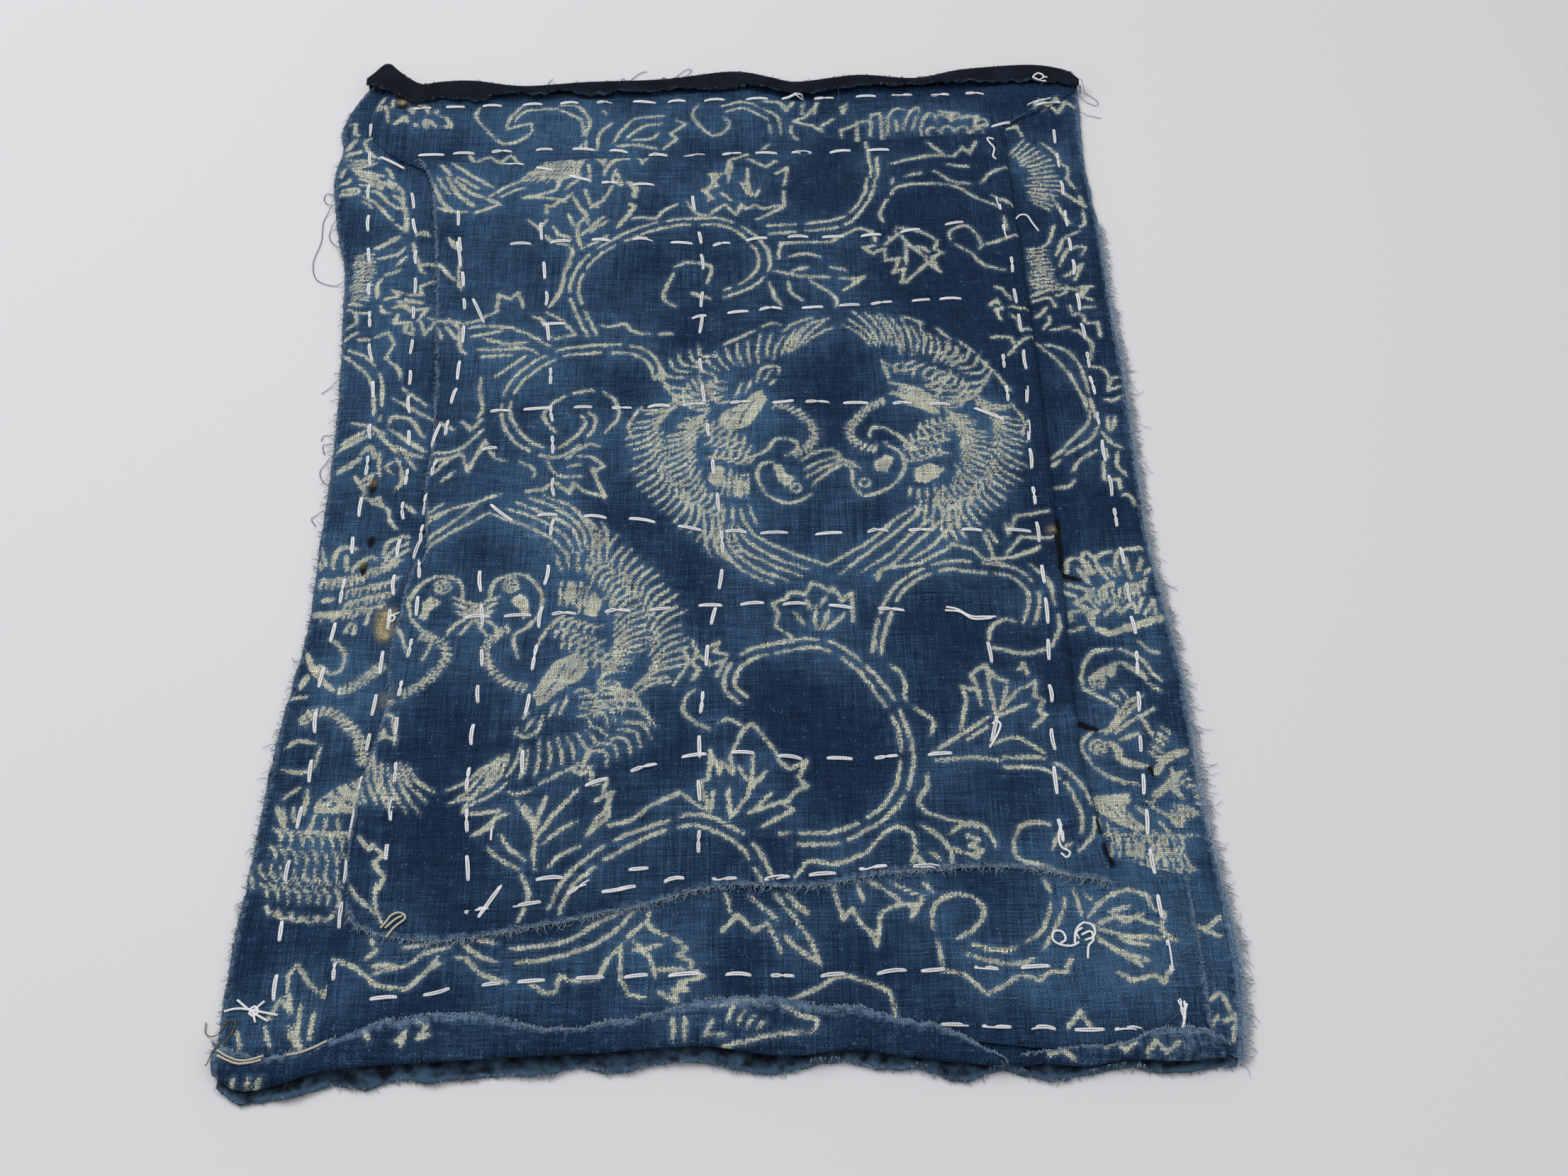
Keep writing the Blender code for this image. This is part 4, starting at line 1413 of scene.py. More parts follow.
LOWER_TOP = [(-129, -172), (-90, -180), (-31, -172), (32, -165), (98, -160), (160, -176)]
LOWER_LEFT = [(-131, -233), (-131, -206), (-129, -172)]
LOWER_RIGHT = [(160, -236), (161, -216), (160, -176)]
LOWER_FOOT = [(-131, -233), (-124, -232), (-100, -231), (-72, -232), (-45, -231), (-8, -230),
              (20, -233), (42, -232), (62, -234), (79, -234), (97, -236), (111, -237), (128, -237),
              (146, -236), (160, -236)]
lower_print = Plan()
draw(lower_print, """
line -131,-201 -121,-206 -115,-211 -105,-213
line -105,-213 -95,-204 -87,-202 -80,-208 -71,-211
zig -118,-195 -116,-199 -119,-202
line -116,-207 -105,-204 -100,-200 -91,-198
line -117,-204 -109,-204
line -108,-198 -97,-196
line -102,-211 -98,-206 -95,-201
line -89,-195 -82,-201 -75,-204
line -83,-195 -76,-197
line -71,-199 -54,-197 -42,-190 -34,-186
line -69,-204 -54,-202 -40,-196 -30,-186
zig -64,-211 -59,-215 -55,-215 -54,-209 -50,-211 -41,-210 -39,-204 -34,-198 -34,-210 -31,-216 -26,-217
line -30,-196 -25,-202 -22,-210
line -30,-200 -20,-198
line -25,-186 -25,-191 -19,-195
line -22,-207 -13,-207
line -27,-190 -32,-196
zig -16,-196 -12,-200 -15,-202 -10,-205 -11,-207 -6,-210 -14,-212 -11,-215 -16,-214 -15,-219 -21,-215
zig 0,-194 5,-188 11,-194 15,-191 20,-202
line 9,-181 14,-186 19,-190
line 1,-180 3,-187
zig 18,-181 24,-189 29,-196 33,-206 27,-202 21,-196
zig 22,-181 29,-188 25,-185
zig 38,-178 41,-190 44,-186 47,-192 50,-195 52,-200 54,-188 58,-186 66,-185 64,-190 68,-184
line 46,-177 48,-184
line 56,-180 61,-184
line 50,-176 55,-179
line 58,-177 69,-183
line 69,-177 72,-181
line 79,-198 86,-194 89,-188 86,-183
line 86,-183 79,-182 73,-185 71,-190 73,-203 74,-209
zig 74,-209 81,-211 88,-218 95,-214 100,-211 106,-213 109,-210 115,-210 117,-205
line 84,-200 91,-202 100,-201 109,-194 112,-183 110,-175
line 81,-203 89,-206 99,-207 107,-203 115,-190 117,-183
line 120,-180 122,-190
line 124,-191 132,-183 139,-181
line 125,-194 135,-191 147,-194
line 126,-195 137,-198 149,-199
line 126,-198 135,-205 140,-209
line 131,-189 139,-187
line 134,-194 143,-190
line 134,-199 144,-202
line 132,-203 143,-207
line 124,-182 127,-186
zig 139,-181 145,-183 146,-188 150,-190 148,-196 153,-200
zig 132,-211 136,-214 144,-212 147,-215 150,-209
zig 113,-230 118,-224 121,-230
line 22,-219 31,-215 39,-210 46,-212
line 46,-212 55,-216 57,-225
""")
weaving, lower_band, points, away = lay(
    "lower_band_cotton", (LOWER_FOOT, LOWER_TOP, LOWER_LEFT, LOWER_RIGHT), 1.05, patch_height,
    (0.2, 0.6, 1.0, 1.0), BAND_COTTON, 81, (0.8, 0.4, 0.4, 0.4))
x, y = points[:, 0], points[:, 1]
wear = 0.6 * (1 - ease(away[3], 0.3, 2.5)) + 0.35 * ease(x, 120, 150)
note_dye(weaving, lower_band, lower_print.at(x, y), wear, np.zeros(len(x)), faded(lower_print, x, y))
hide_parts("lower_band")
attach(lower_band, "root")

# Centre cloth
# The largest patch, on top of the others. Its top and right edges are turned under and pressed, and
# its left and lower edges are torn and left raw.

CENTRE_Z = 4.75
CENTRE_TOP = [(-137, 185), (-105, 182), (-70, 183), (-6, 186), (58, 192), (128, 198)]
CENTRE_RIGHT = [(134, -179), (131, -148), (128, -124), (129, -64), (130, 25), (129, 115),
                (128, 154), (128, 198)]
CENTRE_END = [(-128, -182), (-122, -191), (-100, -196), (-71, -193), (-31, -185), (-2, -178), (32, -178),
              (62, -173), (98, -172), (120, -176), (134, -179)]
CENTRE_LEFT = [(-128, -182), (-129, -158), (-127, -130), (-122, -103), (-123, -77), (-119, -45),
               (-114, -33), (-117, -2), (-116, 24), (-119, 68), (-122, 104), (-129, 165), (-137, 185)]
CENTRE_COTTON = printed_cotton("centre cotton", DEEP, MIDDLE, RESIST, 1390.0)
centre_print = Plan()
roundel(centre_print, 42, 19, 0, 1.0, LEFT_HEAD, RIGHT_HEAD)
roundel(centre_print, -93, -79, 180, 1.0)
draw(centre_print, """
vine -54,75 -61,92 -63,105 -58,119 -46,131 -30,139 -14,142 2,140 14,129 18,117 13,106 0,98
vine -26,52 -30,63 -41,68 -61,67 -71,64 -84,52 -88,37 -84,24 -76,16 -66,13 -58,19 -53,28 -56,34
vine 8,-104 3,-99 4,-90 10,-84 20,-81 32,-79 41,-81 51,-90 60,-104 65,-117 66,-128 64,-139 58,-149 48,-156 38,-160 18,-160
vine 57,-84 60,-70 65,-58 73,-50 85,-45 99,-46 110,-48 117,-56 117,-65 114,-73
vine -57,-186 -53,-176 -45,-168 -35,-161 -24,-156 -10,-152 0,-156 9,-163 16,-177
vine 100,-131 115,-132 124,-140 128,-152 126,-161 119,-167
vine 66,168 64,158 58,146 50,140 37,138 20,136
line -21,115 -14,118 -5,115 -7,105
line -21,112 -25,101 -24,95 -20,92
line -10,98 -13,100 -5,96
line 64,194 65,185 66,175 66,169
line 69,181 69,168
line -67,24 -72,31 -70,38 -61,44 -51,46
line -49,45 -44,41 -42,32 -47,23
zig 24,119 25,128 32,129 47,129 50,132 59,137 65,135 66,129
line 29,120 36,122 42,120
line 30,112 37,114
line 22,112 32,109 45,108 58,107 61,109
line 46,114 53,112
line 37,106 43,101 48,96 48,91
line 28,106 29,99 34,95
line 20,105 22,97 25,91
line 51,100 61,108
zig 11,181 19,176 24,180
zig 24,172 29,176 27,164
zig 27,160 27,150 15,142
zig 11,175 11,166 13,158
line 8,166 12,157
line 16,162 14,156
line 4,178 2,166
line -1,160 4,154
zig 11,184 3,180 1,172 -6,172 -2,164 -9,162 -4,156
zig -5,147 1,152 6,145 8,152 10,149 14,151 18,149 25,151
zig 66,126 61,125 65,121 70,124 70,117 76,118 73,110 78,112 76,104 78,104 88,115
line 76,137 86,134 93,128
zig 93,128 91,123 95,121 90,118 92,112 93,110 87,117
line 75,135 79,129 82,124 88,118
line 76,133 72,128 69,126
line 79,128 79,120 79,114
line 82,124 86,124 89,121
line 72,131 72,127
line 74,157 77,162 87,164 99,164
line 99,164 106,161 111,156 120,151 124,146
line 73,155 69,146 70,140
line 81,169 89,171
line 94,172 102,166 110,164
line 75,164 76,168
line 99,128 99,134 106,138 110,132
line 110,132 112,126 111,123
line 100,126 107,121 112,114 121,111
line 114,126 129,132
line 115,165 119,170 127,174
line 119,157 129,150
line 123,144 124,134
line 75,177 85,180 95,182 104,181
zig 104,181 108,187 111,183 114,190
line 100,176 110,175
line 92,190 99,183
line -4,-124 -5,-136
zig -5,-136 -8,-137 -4,-149
zig -4,-124 -1,-134 0,-129 4,-134 3,-126 8,-116 11,-114 19,-125 21,-130 24,-132 30,-129 27,-136 30,-139 26,-141 22,-146 25,-149 14,-155
line 3,-152 7,-146 10,-139 11,-126
line 11,-149 17,-142
line 9,-150 22,-145
line 10,-140 16,-133
line 9,-137 6,-131
line 3,-151 2,-140
line -1,-113 3,-112 8,-115
line 75,-127 90,-117 97,-112
line 88,-122 96,-116
line 99,-112 98,-101 97,-90
zig 86,-117 89,-105 87,-99 94,-102 91,-94 97,-90 100,-95 104,-97
zig 109,-92 111,-89 112,-94
zig 110,-100 115,-97 114,-104 117,-105 115,-110 117,-112 112,-117
line 100,-110 109,-100
line 100,-112 111,-107
line 102,-106 104,-99
line 94,-108 93,-101
line 96,-124 105,-121 115,-127
zig 26,-77 20,-71 21,-66 19,-61 24,-59 26,-56 31,-57 34,-52 38,-54 41,-56 42,-54 45,-60 49,-57 49,-69
line 35,-73 35,-62
line 31,-71 27,-65
line 37,-73 40,-64
line 39,-73 46,-66
line 33,-64 32,-59
line 37,-62 39,-58
zig -11,-77 -9,-82 -11,-87 -8,-90 -11,-94
zig -5,-80 -1,-78 -3,-82 2,-84
zig -8,-84 -4,-88 1,-86 -2,-93
line -10,-98 -14,-104 -13,-110 -4,-116
line 62,-89 66,-94 67,-100 66,-104 71,-109 76,-114 75,-120
line 76,-130 91,-129 100,-131
line 73,-135 72,-141 69,-146 72,-151
line 72,-151 80,-154 90,-156 94,-162 97,-170
line 69,-155 75,-160 79,-166 79,-171
line 79,-159 84,-156 90,-157
zig 85,-160 89,-162 86,-164 90,-166 88,-168
line 80,-165 89,-169
line 72,-166 75,-169
line 67,-167 70,-172
line 115,-156 111,-155 105,-156 101,-162
line 101,-162 102,-169 110,-172 120,-176
line 118,-158 114,-166
line 25,-175 30,-169 39,-170 50,-166
line 50,-166 55,-160 61,-156 66,-159 67,-165 65,-171
zig 59,-51 61,-46 75,-44 89,-35 96,-37 100,-42 112,-41 122,-36
line 110,-71 105,-70 100,-74 99,-79
line 99,-82 104,-83 112,-85 122,-82
line 122,-82 126,-74 125,-61 123,-51 117,-44
line 101,-29 104,-40
line 106,-34 103,-27
zig 110,-25 111,-30 114,-21 121,-20 127,-19
line 109,-40 116,-30
line 116,-31 128,-32
line 111,-41 122,-37
zig 116,101 119,100 122,94
zig 113,90 116,94 118,89 115,88 117,82
line 121,90 129,88
line 118,62 125,70 132,74
zig 112,72 120,72 121,68
zig 124,81 125,76 130,77
line 121,85 124,82
line -51,81 -47,80 -41,82 -36,77 -20,76
line 2 -66,129 -65,123 -68,110
line 2 -68,109 -69,101 -73,92
zig -100,87 -95,90 -95,100 -90,97 -87,101 -84,92
line -122,85 -107,84 -100,87
line -115,86 -108,79
line -106,81 -99,82 -87,80 -71,70
zig -74,89 -67,84 -61,76 -70,74
line -80,87 -75,84 -72,75
line -105,76 -92,79
line -100,75 -90,72 -81,72
line -102,69 -95,69 -81,69 -76,66
line -100,65 -87,66
line -94,54 -87,60 -81,65
line -110,80 -109,70 -106,67
line -120,82 -117,75
line -116,82 -111,75
line -99,54 -99,45 -97,37 -99,32
zig -105,30 -101,26 -97,31
line -116,14 -105,16 -96,26
line -115,11 -107,12
line -114,5 -110,10 -104,14
line -111,0 -106,5
zig -104,14 -101,5 -95,20
line -95,20 -90,11 -81,9 -74,4 -76,-1
line -114,30 -108,26
line -70,9 -65,2 -55,1
line -62,10 -54,17 -49,16
zig -57,11 -51,10 -47,6 -49,4 -52,5 -46,-9 -55,-6 -59,-2 -60,-7 -66,-1 -71,-5 -77,-6
line -61,6 -56,7
line -69,-145 -65,-154 -65,-165 -64,-171
line -65,-155 -62,-142
line -77,-157 -74,-162 -68,-167
line -81,-162 -76,-167 -69,-171
line -62,-161 -57,-156 -51,-152
line -64,-158 -59,-150
line -69,-172 -66,-181 -69,-190
line -60,-170 -55,-165 -49,-162
zig -87,-157 -80,-154 -80,-151 -75,-149
zig -46,-157 -40,-150 -40,-141 -45,-144
zig -40,-154 -32,-152 -26,-147 -15,-141 -9,-146 -4,-149 -3,-141
zig -126,-157 -122,-162 -121,-160 -117,-164 -120,-167 -116,-172 -117,-177
line -127,-176 -122,-182 -117,-186
line -118,-175 -118,-182 -115,-189
zig -53,-131 -50,-133 -47,-130 -46,-137 -41,-135 -42,-142 -39,-140 -41,-148 -44,-152 -47,-158
line -47,-122 -50,-131
line -51,-139 -57,-147 -62,-154
line -72,-144 -67,-152 -64,-158
line -90,-145 -90,-148 -83,-148 -77,-147
line -87,-157 -80,-152 -79,-149
line 1.8 -115,175 -102,165
line 1.8 -118,172 -108,164
line 2.2 -120,171 -115,165 -111,161 -105,158
line 2.2 -105,158 -98,154
line 2 -123,172 -119,164 -116,159 -109,153
line 1.8 -127,172 -124,166 -121,161
line 1.8 -129,169 -126,161 -123,155 -118,150
line 1.8 -126,152 -118,150 -112,150
line 2.2 -114,158 -110,153
line 1.8 -98,154 -109,149
line 1.6 -121,180 -112,173
line 1.6 -126,179 -121,173
fan 11 0 -77,183 -61,184 | -91,169 -83,167 -75,168 -66,171
line 1.6 -103,159 -92,168 -85,169
line 1.6 -98,159 -92,163 -87,165
line 1.8 -63,173 -65,169 -70,163
line 1.8 -66,173 -72,169 -74,163 -80,160
line 1.6 -80,160 -88,158
line 1.8 -88,158 -81,158 -70,156
line 1.6 -70,156 -66,161
zig -77,148 -78,153 -74,152 -72,156 -69,155
line 1.8 -60,178 -59,168
zig -58,185 -53,178 -53,184 -50,185
line 2 -42,182 -48,181 -52,176 -53,172
zig -48,175 -49,169 -45,166 -47,173
line 3 -42,168 -39,164 -39,158
zig -61,163 -58,151 -53,155 -49,165
line 1.6 -59,153 -54,151
zig -42,185 -39,186 -36,179 -33,186
line 2.4 -41,153 -39,151 -42,145 -46,139
line 1.8 -50,134 -59,128
zig -39,144 -35,145 -33,144 -29,144 -26,149 -20,153
zig -2,170 -7,162 -6,155
line -16,155 -11,147 -5,146
line 2 -66,158 -63,151 -60,146 -63,141
line 2 -63,141 -63,134 -61,126
line 1.8 -68,148 -65,140
line 1.8 -74,140 -71,135 -66,133
zig -85,144 -80,139 -77,144
line 1.8 -61,135 -52,145
line 1.6 -58,136 -50,143
line 1.6 -59,144 -59,140
line 1.8 -77,135 -75,132 -66,129
line 2.4 -119,134 -115,128
line 1.6 -113,123 -113,110 -111,103
line 1.8 -129,115 -122,118 -115,109
line 1.5 -117,-19 -105,-14 -87,-7
""")


def centre_height(x, y, away):
    """The centre cloth lies over the others; its turned-under edges make a low ridge."""
    ridge = ease(np.minimum(away[1], away[3]), 10.5, 8.0) * 0.45
    for middle_y, half in ((-38, 11), (-115, 4), (-165, 7)):
        ridge = ridge + 2.4 * np.exp(-(((y - middle_y) / half) ** 2)) * (1 - ease(away[3], -0.5, 3.5))
    return CENTRE_Z + relief(x, y) + ridge


weaving, centre_cloth, points, away = lay(
    "centre_cotton", (CENTRE_END, CENTRE_TOP, CENTRE_LEFT, CENTRE_RIGHT), 1.05, centre_height,
    (1.0, 1.5, 1.0, 1.8), CENTRE_COTTON, 91, (0.9, 0.15, 0.8, 0.15))
x, y = points[:, 0], points[:, 1]
rubbed = spots(x, y, [(-79, -20, 5, 0.8), (-73, -27, 6, 0.9), (-66, -34, 4, 0.8), (-122, -105, 7, 0.5)])
rubbed = rubbed * (0.7 + 0.8 * cloudy(x, y, 2.2, 77))
wear = rubbed + 0.85 * (1 - ease(np.minimum(away[0], away[2]), 0.3, 4.0))
note_dye(weaving, centre_cloth, centre_print.at(x, y), wear, spots(x, y, STAINED), faded(centre_print, x, y))
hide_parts("centre_cloth")
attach(centre_cloth, "root")

# Running stitches
# Rows of doubled white cotton thread through all the layers, sewn by hand. Each stitch is two
# strands side by side that go down into the cloth at both ends.

STRAND = 0.36


def top_at(x, y):
    """z of the uppermost cloth at plan points, mm."""
    i = np.clip(np.round(np.asarray(x)).astype(int) + TOP_ORIGIN[0], 0, TOP_COLUMNS - 1)
    j = np.clip(np.round(np.asarray(y)).astype(int) + TOP_ORIGIN[1], 0, TOP_ROWS - 1)
    return TOP[j, i]


# Cells that no point of a cloth fell on are filled from the cells beside them.
for _ in range(2):
    grown = TOP.copy()
    for shift, axis in ((1, 0), (-1, 0), (1, 1), (-1, 1)):
        grown = np.maximum(grown, np.roll(TOP, shift, axis))
    row_number = np.arange(TOP_ROWS)[:, None]
    inside = (row_number > 22) & (row_number < 505)
    TOP = np.where((TOP == 0) & inside, grown, TOP)


class Yarn:
    """Many strands joined in one mesh: thin tubes of few sides, closed at both ends."""

    def __init__(self):
        self.points = []
        self.faces = []
        self.tones = []
        self.lengthways = []
        self.count = 0

    def strand(self, path, radius, sides=5, tone=0.5):
        """A tube along the path, mm, with one radius or one for each point."""
        path = np.asarray(path, float)
        way = np.gradient(path, axis=0)
        way /= np.maximum(np.linalg.norm(way, axis=1, keepdims=True), 1e-9)
        side = np.stack([-way[:, 1], way[:, 0], np.zeros(len(way))], axis=1) + (1e-6, 0, 0)
        side /= np.linalg.norm(side, axis=1, keepdims=True)
        up = np.cross(way, side)
        turn = 2 * np.pi * np.arange(sides) / sides
        radius = np.broadcast_to(radius, len(path))[:, None, None]
        ring = side[:, None] * np.cos(turn)[None, :, None] + up[:, None] * np.sin(turn)[None, :, None]
        self.points.append((path[:, None] + radius * ring).reshape(-1, 3))
        number = self.count + np.arange(len(path) * sides).reshape(len(path), sides)
        after = np.roll(number, -1, axis=1)
        quads = np.stack([number[:-1], after[:-1], after[1:], number[1:]], axis=-1).reshape(-1, 4)
        self.faces += quads.tolist() + [number[0][::-1].tolist(), number[-1].tolist()]
        self.count += len(path) * sides
        run = np.append(0, np.cumsum(np.linalg.norm(np.diff(path, axis=0), axis=1)))
        self.lengthways.append(np.repeat(run, sides))
        self.tones.append(np.full(len(path) * sides, tone))

    def make(self, name, material):
        """The finished mesh object, in metres on the part."""
        points = (np.vstack(self.points) + (0, SHIFT, 0)) * MM
        mesh = bpy.data.meshes.new(name)
        mesh.from_pydata(points.tolist(), [], self.faces)
        mesh.polygons.foreach_set("use_smooth", np.ones(len(mesh.polygons), bool))
        for title, values in (("tone", self.tones), ("lengthways", self.lengthways)):
            fact = mesh.attributes.new(title, "FLOAT", "POINT")
            fact.data.foreach_set("value", np.concatenate(values).astype(np.float32))
        made = bpy.data.objects.new(name, mesh)
        bpy.context.collection.objects.link(made)
        mesh.materials.append(material)
        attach(made, "root")
        return made


def spun(name, dark, light, depth, rough=0.85):
    """A thread's material: a colour for each strand, with its twist as fine slanting shade."""
    made = bpy.data.materials.new(name)
    made.use_nodes = True
    tree = made.node_tree
    shader = tree.nodes["Principled BSDF"]
    shader.inputs["Roughness"].default_value = rough
    shader.inputs["Specular IOR Level"].default_value = 0.25
    vector = wired(tree, "ShaderNodeTexCoord", out=3)
    tone = wired(tree, "ShaderNodeAttribute", attribute_name="tone", out=2)
    run = wired(tree, "ShaderNodeAttribute", attribute_name="lengthways", out=2)
    soft = noise_of(tree, vector, 900.0, 3.0)
    level_of = sum_of(tree, "ADD", tone, sum_of(tree, "MULTIPLY_ADD", soft, 0.6, -0.3))
    colour = mixed(tree, step_of(tree, level_of, 0.0, 1.0), dark, light)
    twist = sum_of(tree, "SINE", sum_of(tree, "MULTIPLY", run, 6.2))
    shade = step_of(tree, twist, -1.0, 0.3, 0.82, 1.0)
    colour = mixed(tree, 1.0, colour, wired(tree, "ShaderNodeCombineXYZ", shade, shade, shade), "MULTIPLY")
    tree.links.new(colour, shader.inputs["Base Color"])
    bump_from(tree, shader, twist, depth)
    return made


WHITE_YARN = spun("white sewing cotton", (0.6, 0.61, 0.64, 1), (0.83, 0.83, 0.85, 1), 0.00008)
sewing = Yarn()
rng = random.Random(19)
for x, y, length, angle in STITCHES:
    along_way = np.array([math.cos(angle), math.sin(angle)])
    aside = np.array([-along_way[1], along_way[0]])
    bow = rng.gauss(0, 0.25)
    crossing = rng.random() < 0.25
    tone = rng.uniform(0.45, 0.95)
    for hand in (-1, 1):
        path = []
        for t, apart, lift in ((-0.54, 0.4, -0.45), (-0.46, 0.7, 0.18), (-0.2, 1, 0.5), (0.15, 1, 0.52),
                               (0.45, 0.75, 0.2), (0.54, 0.35, -0.45)):
            swap = hand * (-1 if crossing and t > 0 else 1)
            off = swap * apart * 0.4 + bow * (1 - 4 * t * t)
            place = np.array([x, y]) + along_way * length * t + aside * off
            z = float(top_at(place[0], place[1])) + lift + (0.12 * hand if crossing else 0.0)
            path.append((place[0], place[1], z))
        sewing.strand(path, STRAND * np.array([0.75, 1, 1, 1, 1, 0.75]), 5, tone)
sewing.make("running_stitches", WHITE_YARN)

# Knots, bow and curls
# The same thread's knots and spare ends: a star knot at the left foot, a bow at the right one, a
# lump at the top right, and the curled ends of single stitches.


def resting(points, radius, lift=0.0, step=1.0):
    """A smooth path that lies on the cloth, or on the floor beside it."""
    line = smooth_line(points, step)
    z = np.maximum(top_at(line[:, 0], line[:, 1]), 0.0)
    wide = np.ones(3) / 3
    z = np.convolve(np.pad(z, 1, mode="edge"), wide, "valid")
    return np.column_stack([line, z + radius + lift])


KNOTS = [
    # path in plan
    [(-164, -219), (-159, -218.5), (-153, -219.5), (-146, -221)],
    [(-160, -215.5), (-155, -219.5), (-149, -223)],
    [(-151, -216), (-154, -219.5), (-153, -223.5)],
    [(-155.5, -219), (-154, -217.8), (-152.6, -219.5), (-154, -221.3), (-155.6, -220)],
    [(120, -200), (117.5, -201.3), (113.5, -200.8), (111.2, -199), (111.8, -196.2), (114.6, -196.2),
     (115.6, -199), (113.6, -200.4)],
    [(118.5, -200.5), (119.3, -196), (122, -193.2), (125, -193.8), (125.7, -197), (123.7, -199),
     (120.6, -198.6), (119.3, -196.6), (121.5, -195)],
    [(121, -197.5), (124.3, -196.3), (124.8, -199.5), (123, -201.5), (122.3, -206)],
    [(118, -156), (116.9, -161), (117.4, -165), (120.2, -167), (118.8, -169), (117, -167.4)],
    [(97.3, -115.6), (99, -114.3), (100.3, -116), (98.8, -120), (95.6, -125.5)],
    [(152.5, -221.5), (152.2, -226), (150.6, -231)], [(153.2, -222.5), (151.6, -227), (151.4, -230.5)],
    [(142.5, 234), (146, 231), (149, 232.6), (146.5, 234.6), (144, 232.2), (149.5, 230), (151, 232),
     (147, 232)],
    [(122.5, 191), (119.6, 192), (120.4, 188.7), (122.2, 185), (121.2, 180), (122.5, 178)],
    [(128.7, 143.7), (130.6, 146), (133.7, 145.6), (135.6, 141), (138, 135.6)],
    [(84, -64.5), (88, -65.5), (93, -68.8), (98, -69), (102.5, -69)],
    [(83.5, -66), (89, -66.8), (93.5, -70), (99, -69.9), (101, -69.5)],
    [(-80, -159.5), (-80, -155)],
    [(-126, -63.6), (-124.8, -62), (-123.2, -63), (-124, -64.9), (-125.6, -64.4), (-125.2, -62.6),
     (-121.5, -61)],
]
knots = Yarn()
for path in KNOTS:
    knots.strand(resting(path, 0.42, 0.25), 0.42, 6, 0.8)
knots.make("knots_and_bow", WHITE_YARN)

CREAM_YARN = spun("cream thread", (0.36, 0.33, 0.25, 1), (0.6, 0.57, 0.47, 1), 0.00006)
CREAM = [
    [(-115, -191.5), (-112, -187), (-108.6, -185.8), (-107, -188), (-110, -190.8), (-113, -194.5)],
    [(-113.5, -191.5), (-110.5, -188.5), (-108, -187)],
    [(-163.5, -233.5), (-160, -235.6), (-155, -237), (-148.5, -235.2)],
    [(-163, -235.6), (-156, -238.2), (-149, -236.6)],
    [(-141, -235.2), (-136, -234.4), (-128, -231.6)],
]
cream = Yarn()
for path in CREAM:
    cream.strand(resting(path, 0.4, 0.25), 0.4, 6, 0.6)
cream.make("cream_threads", CREAM_YARN)

# Loose threads
# Fine single threads that have worked out of the cloths: loops at the left edge and at the top
# right, a brown one at the left foot, and long blue ones over the right foot.

BROWN_THREAD = spun("brown thread", (0.1, 0.065, 0.04, 1), (0.2, 0.14, 0.09, 1), 0.00003)
BLUE_THREAD = spun("blue thread", (0.02, 0.035, 0.06, 1), (0.16, 0.23, 0.32, 1), 0.00003)
LOOSE = [
    # tone, radius, path in plan
    (0.3, 0.16, [(-172.5, 165), (-176.5, 167.5), (-177.5, 163.7), (-175, 160), (-172.5, 158.7)]),
    (0.3, 0.16, [(-173, 159), (-176, 150), (-175.6, 137.5), (-177.5, 125), (-175, 115), (-167.5, 111),
                 (-161, 112)]),
    (0.3, 0.16, [(-170.6, 149), (-172.5, 141), (-168.7, 134), (-163, 130)]),
    (0.2, 0.14, [(-157, 57.5), (-161, 54), (-165, 50)]), (0.2, 0.14, [(-156, 26), (-161, 28), (-162, 25)]),
    (0.2, 0.14, [(-155, 17.5), (-160.5, 10), (-158.7, 3.7), (-156, 1)]),
    (0.2, 0.14, [(-157, 22), (-161, 23), (-160, 18)]), (0.2, 0.14, [(-156, -11), (-161, -14), (-159, -18)]),
    (0.5, 0.14, [(115.6, -170), (118, -177.5), (122, -184), (123, -192.5), (125, -200), (128.7, -210),
                 (128.7, -220), (131, -229)]),
    (0.5, 0.14, [(125, -191), (132.5, -200), (140, -203), (150, -205), (156, -204.4), (160, -200),
                 (157.5, -195), (153, -196), (152, -201), (156, -202.5)]),
    (0.5, 0.14, [(149, -193), (149.6, -188.5), (155, -187.5), (158.7, -191), (157.5, -196), (153.7, -198.7),
                 (150, -195)]),
    (0.5, 0.12, [(151, -225), (146, -229), (141, -232.5)]),
    (0.6, 0.16, [(149, 230), (156, 233.5), (161, 236.5), (165, 233), (168, 229), (173.5, 223), (173, 219.5),
                 (168.7, 222), (163.7, 226)]),
    (0.4, 0.14, [(162, 213.7), (168, 213), (174, 211)]),
    (0.7, 0.15, [(146, 217), (137.5, 210), (131, 205.6), (124, 203)]),
    (0.5, 0.1, [(53, 234), (53.5, 225), (51.5, 216)]),
    (0.1, 0.16, [(-80, 242.5), (-82, 238.7), (-80.6, 234)]),
    (0.1, 0.17, [(-36, 247), (-40, 245), (-47.5, 235)]),
    (0.1, 0.15, [(-30, 237), (-24, 241), (-18, 247.5), (-15, 248), (-17, 244), (-24, 240.5), (-29, 236)]),
    (0.1, 0.18, [(133, 240), (136, 244), (139, 243), (137, 239)]),
]
loose = Yarn()
for tone, radius, path in LOOSE:
    loose.strand(resting(path, radius, 0.1), radius, 4, tone)
loose.make("loose_threads", BLUE_THREAD)
BROWN_PATH = [(-170, -222), (-169.5, -226), (-165.6, -227), (-162.5, -222.5), (-159.6, -222.8),
              (-160.6, -227.5), (-164.4, -232.5), (-165.6, -237.5), (-167.5, -237.5)]
brown = Yarn()
brown.strand(resting(BROWN_PATH, 0.2, 0.2), 0.2, 5)
brown.make("brown_thread", BROWN_THREAD)

# Fray
# Short ends of the cloths' own threads along their torn edges, thickest down the right side, where
# the weft has come loose.

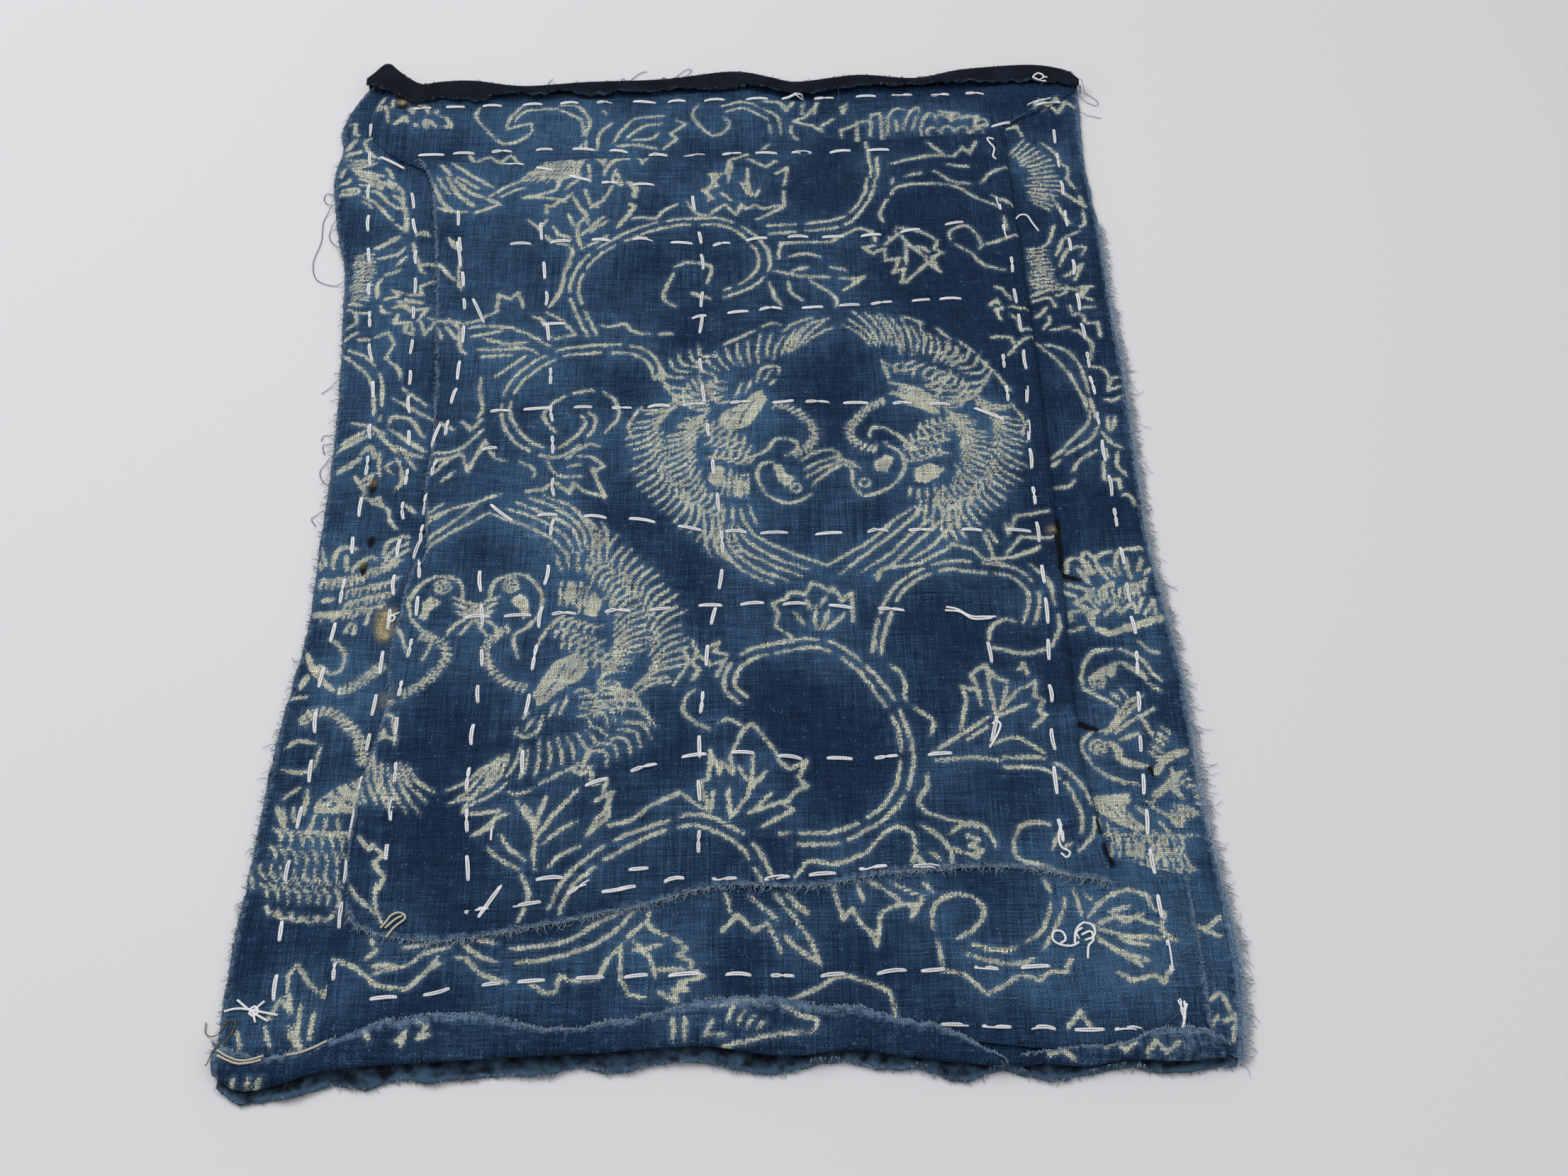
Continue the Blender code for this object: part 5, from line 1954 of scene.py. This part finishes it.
FRAY_THREAD = spun("frayed cotton", (0.035, 0.07, 0.13, 1), (0.3, 0.38, 0.47, 1), 0.00003)
FRAYED = [
    # edge in plan, outward x and y, strands per mm, length, how far the lengths vary, tone
    (RIGHT_EDGE[:-2], 1, 0, 5.0, 2.3, 0.4, 0.9), (RIGHT_EDGE[1:-3], 1, 0, 1.4, 3.8, 0.35, 0.8),
    (LEFT_EDGE[:-2], -1, 0, 2.0, 1.2, 0.5, 0.45), (LEFT_EDGE[1:9], -1, 0, 0.3, 2.8, 0.4, 0.4),
    (BACKING_END, 0, -1, 2.6, 1.2, 0.5, 0.5), (HEM_EDGE, 0, 1, 3.4, 1.3, 0.45, 0.8),
    (CENTRE_LEFT, -1, 0, 2.2, 1.3, 0.5, 0.5), (CENTRE_END, 0, -1, 4.8, 2.0, 0.45, 0.7),
    (ROLL_EDGE, 0, 1, 3.0, 1.2, 0.5, 0.8), (LOWER_RIGHT[::-1], 1, 0, 1.6, 1.0, 0.5, 0.6),
    (BAND_EDGE, 0, -1, 1.2, 0.8, 0.5, 0.1), (TOP_EDGE, 0, 1, 1.5, 0.7, 0.5, 0.05),
]
fray = Yarn()
rng = random.Random(5)
for edge, out_x, out_y, thick, mean, vary, tone in FRAYED:
    line = smooth_line(edge, 1.0)
    run = float(np.linalg.norm(np.diff(line, axis=0), axis=1).sum())
    for k in range(int(run * thick)):
        x, y = along(line, [rng.random()])[0]
        length = mean * math.exp(rng.gauss(0, vary))
        length = min(length, mean * 2.3)
        lean = math.atan2(out_y, out_x) + rng.gauss(0, 0.55)
        bend = rng.gauss(0, 0.5)
        root = float(top_at(x - out_x * 1.5, y - out_y * 1.5))
        path = []
        for t in (0.0, 0.35, 0.7, 1.0):
            turn = lean + bend * t
            place = (x - 0.8 * out_x + length * t * math.cos(turn),
                     y - 0.8 * out_y + length * t * math.sin(turn))
            under = float(top_at(place[0], place[1]))
            path.append((place[0], place[1], max(under, 0.0) + 0.25 + 0.5 * t * rng.random()))
        path[0] = (path[0][0], path[0][1], max(0.3, root * 0.8))
        fray.strand(path, [0.15, 0.13, 0.11, 0.07], 3, min(1, max(0, rng.gauss(tone, 0.22))))
fray.make("frayed_edges", FRAY_THREAD)

# Floor, light and camera
# A plain pale board under soft studio light, seen from the foot of the cloth and above it.

floor_material = bpy.data.materials.new("pale board")
floor_material.use_nodes = True
floor_material.node_tree.nodes["Principled BSDF"].inputs["Base Color"].default_value = (0.6, 0.6, 0.62, 1)
floor_material.node_tree.nodes["Principled BSDF"].inputs["Roughness"].default_value = 0.95
bpy.ops.mesh.primitive_plane_add(size=8, location=(0, 0, -0.0003))
floor = bpy.context.object
floor.name = "floor"
floor.data.materials.append(floor_material)
floor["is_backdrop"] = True

LAMPS = [
    # name, place, turn in degrees, size, watts
    ("key", (-0.7, 0.5, 1.5), (-18, -25, 0), 1.4, 22),
    ("fill", (0.8, -0.6, 1.4), (25, 28, 0), 1.8, 7),
]
for name, place, turn, size, watts in LAMPS:
    bpy.ops.object.light_add(type="AREA", location=place, rotation=[math.radians(a) for a in turn])
    lamp = bpy.context.object
    lamp.name = name
    lamp.data.size = size
    lamp.data.energy = watts
world = bpy.data.worlds.new("room")
bpy.context.scene.world = world
world.use_nodes = True
world.node_tree.nodes["Background"].inputs["Color"].default_value = (1, 1, 1, 1)
world.node_tree.nodes["Background"].inputs["Strength"].default_value = 0.45
bpy.context.scene.view_settings.view_transform = "Standard"

bpy.ops.object.camera_add(location=(0.0161, -0.4674, 0.5994),
                          rotation=(math.radians(34.937), 0, math.radians(-1)))
bpy.context.scene.camera = bpy.context.object
bpy.context.object.data.lens = 43.94
bpy.context.object.data.clip_start = 0.01

low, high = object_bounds()
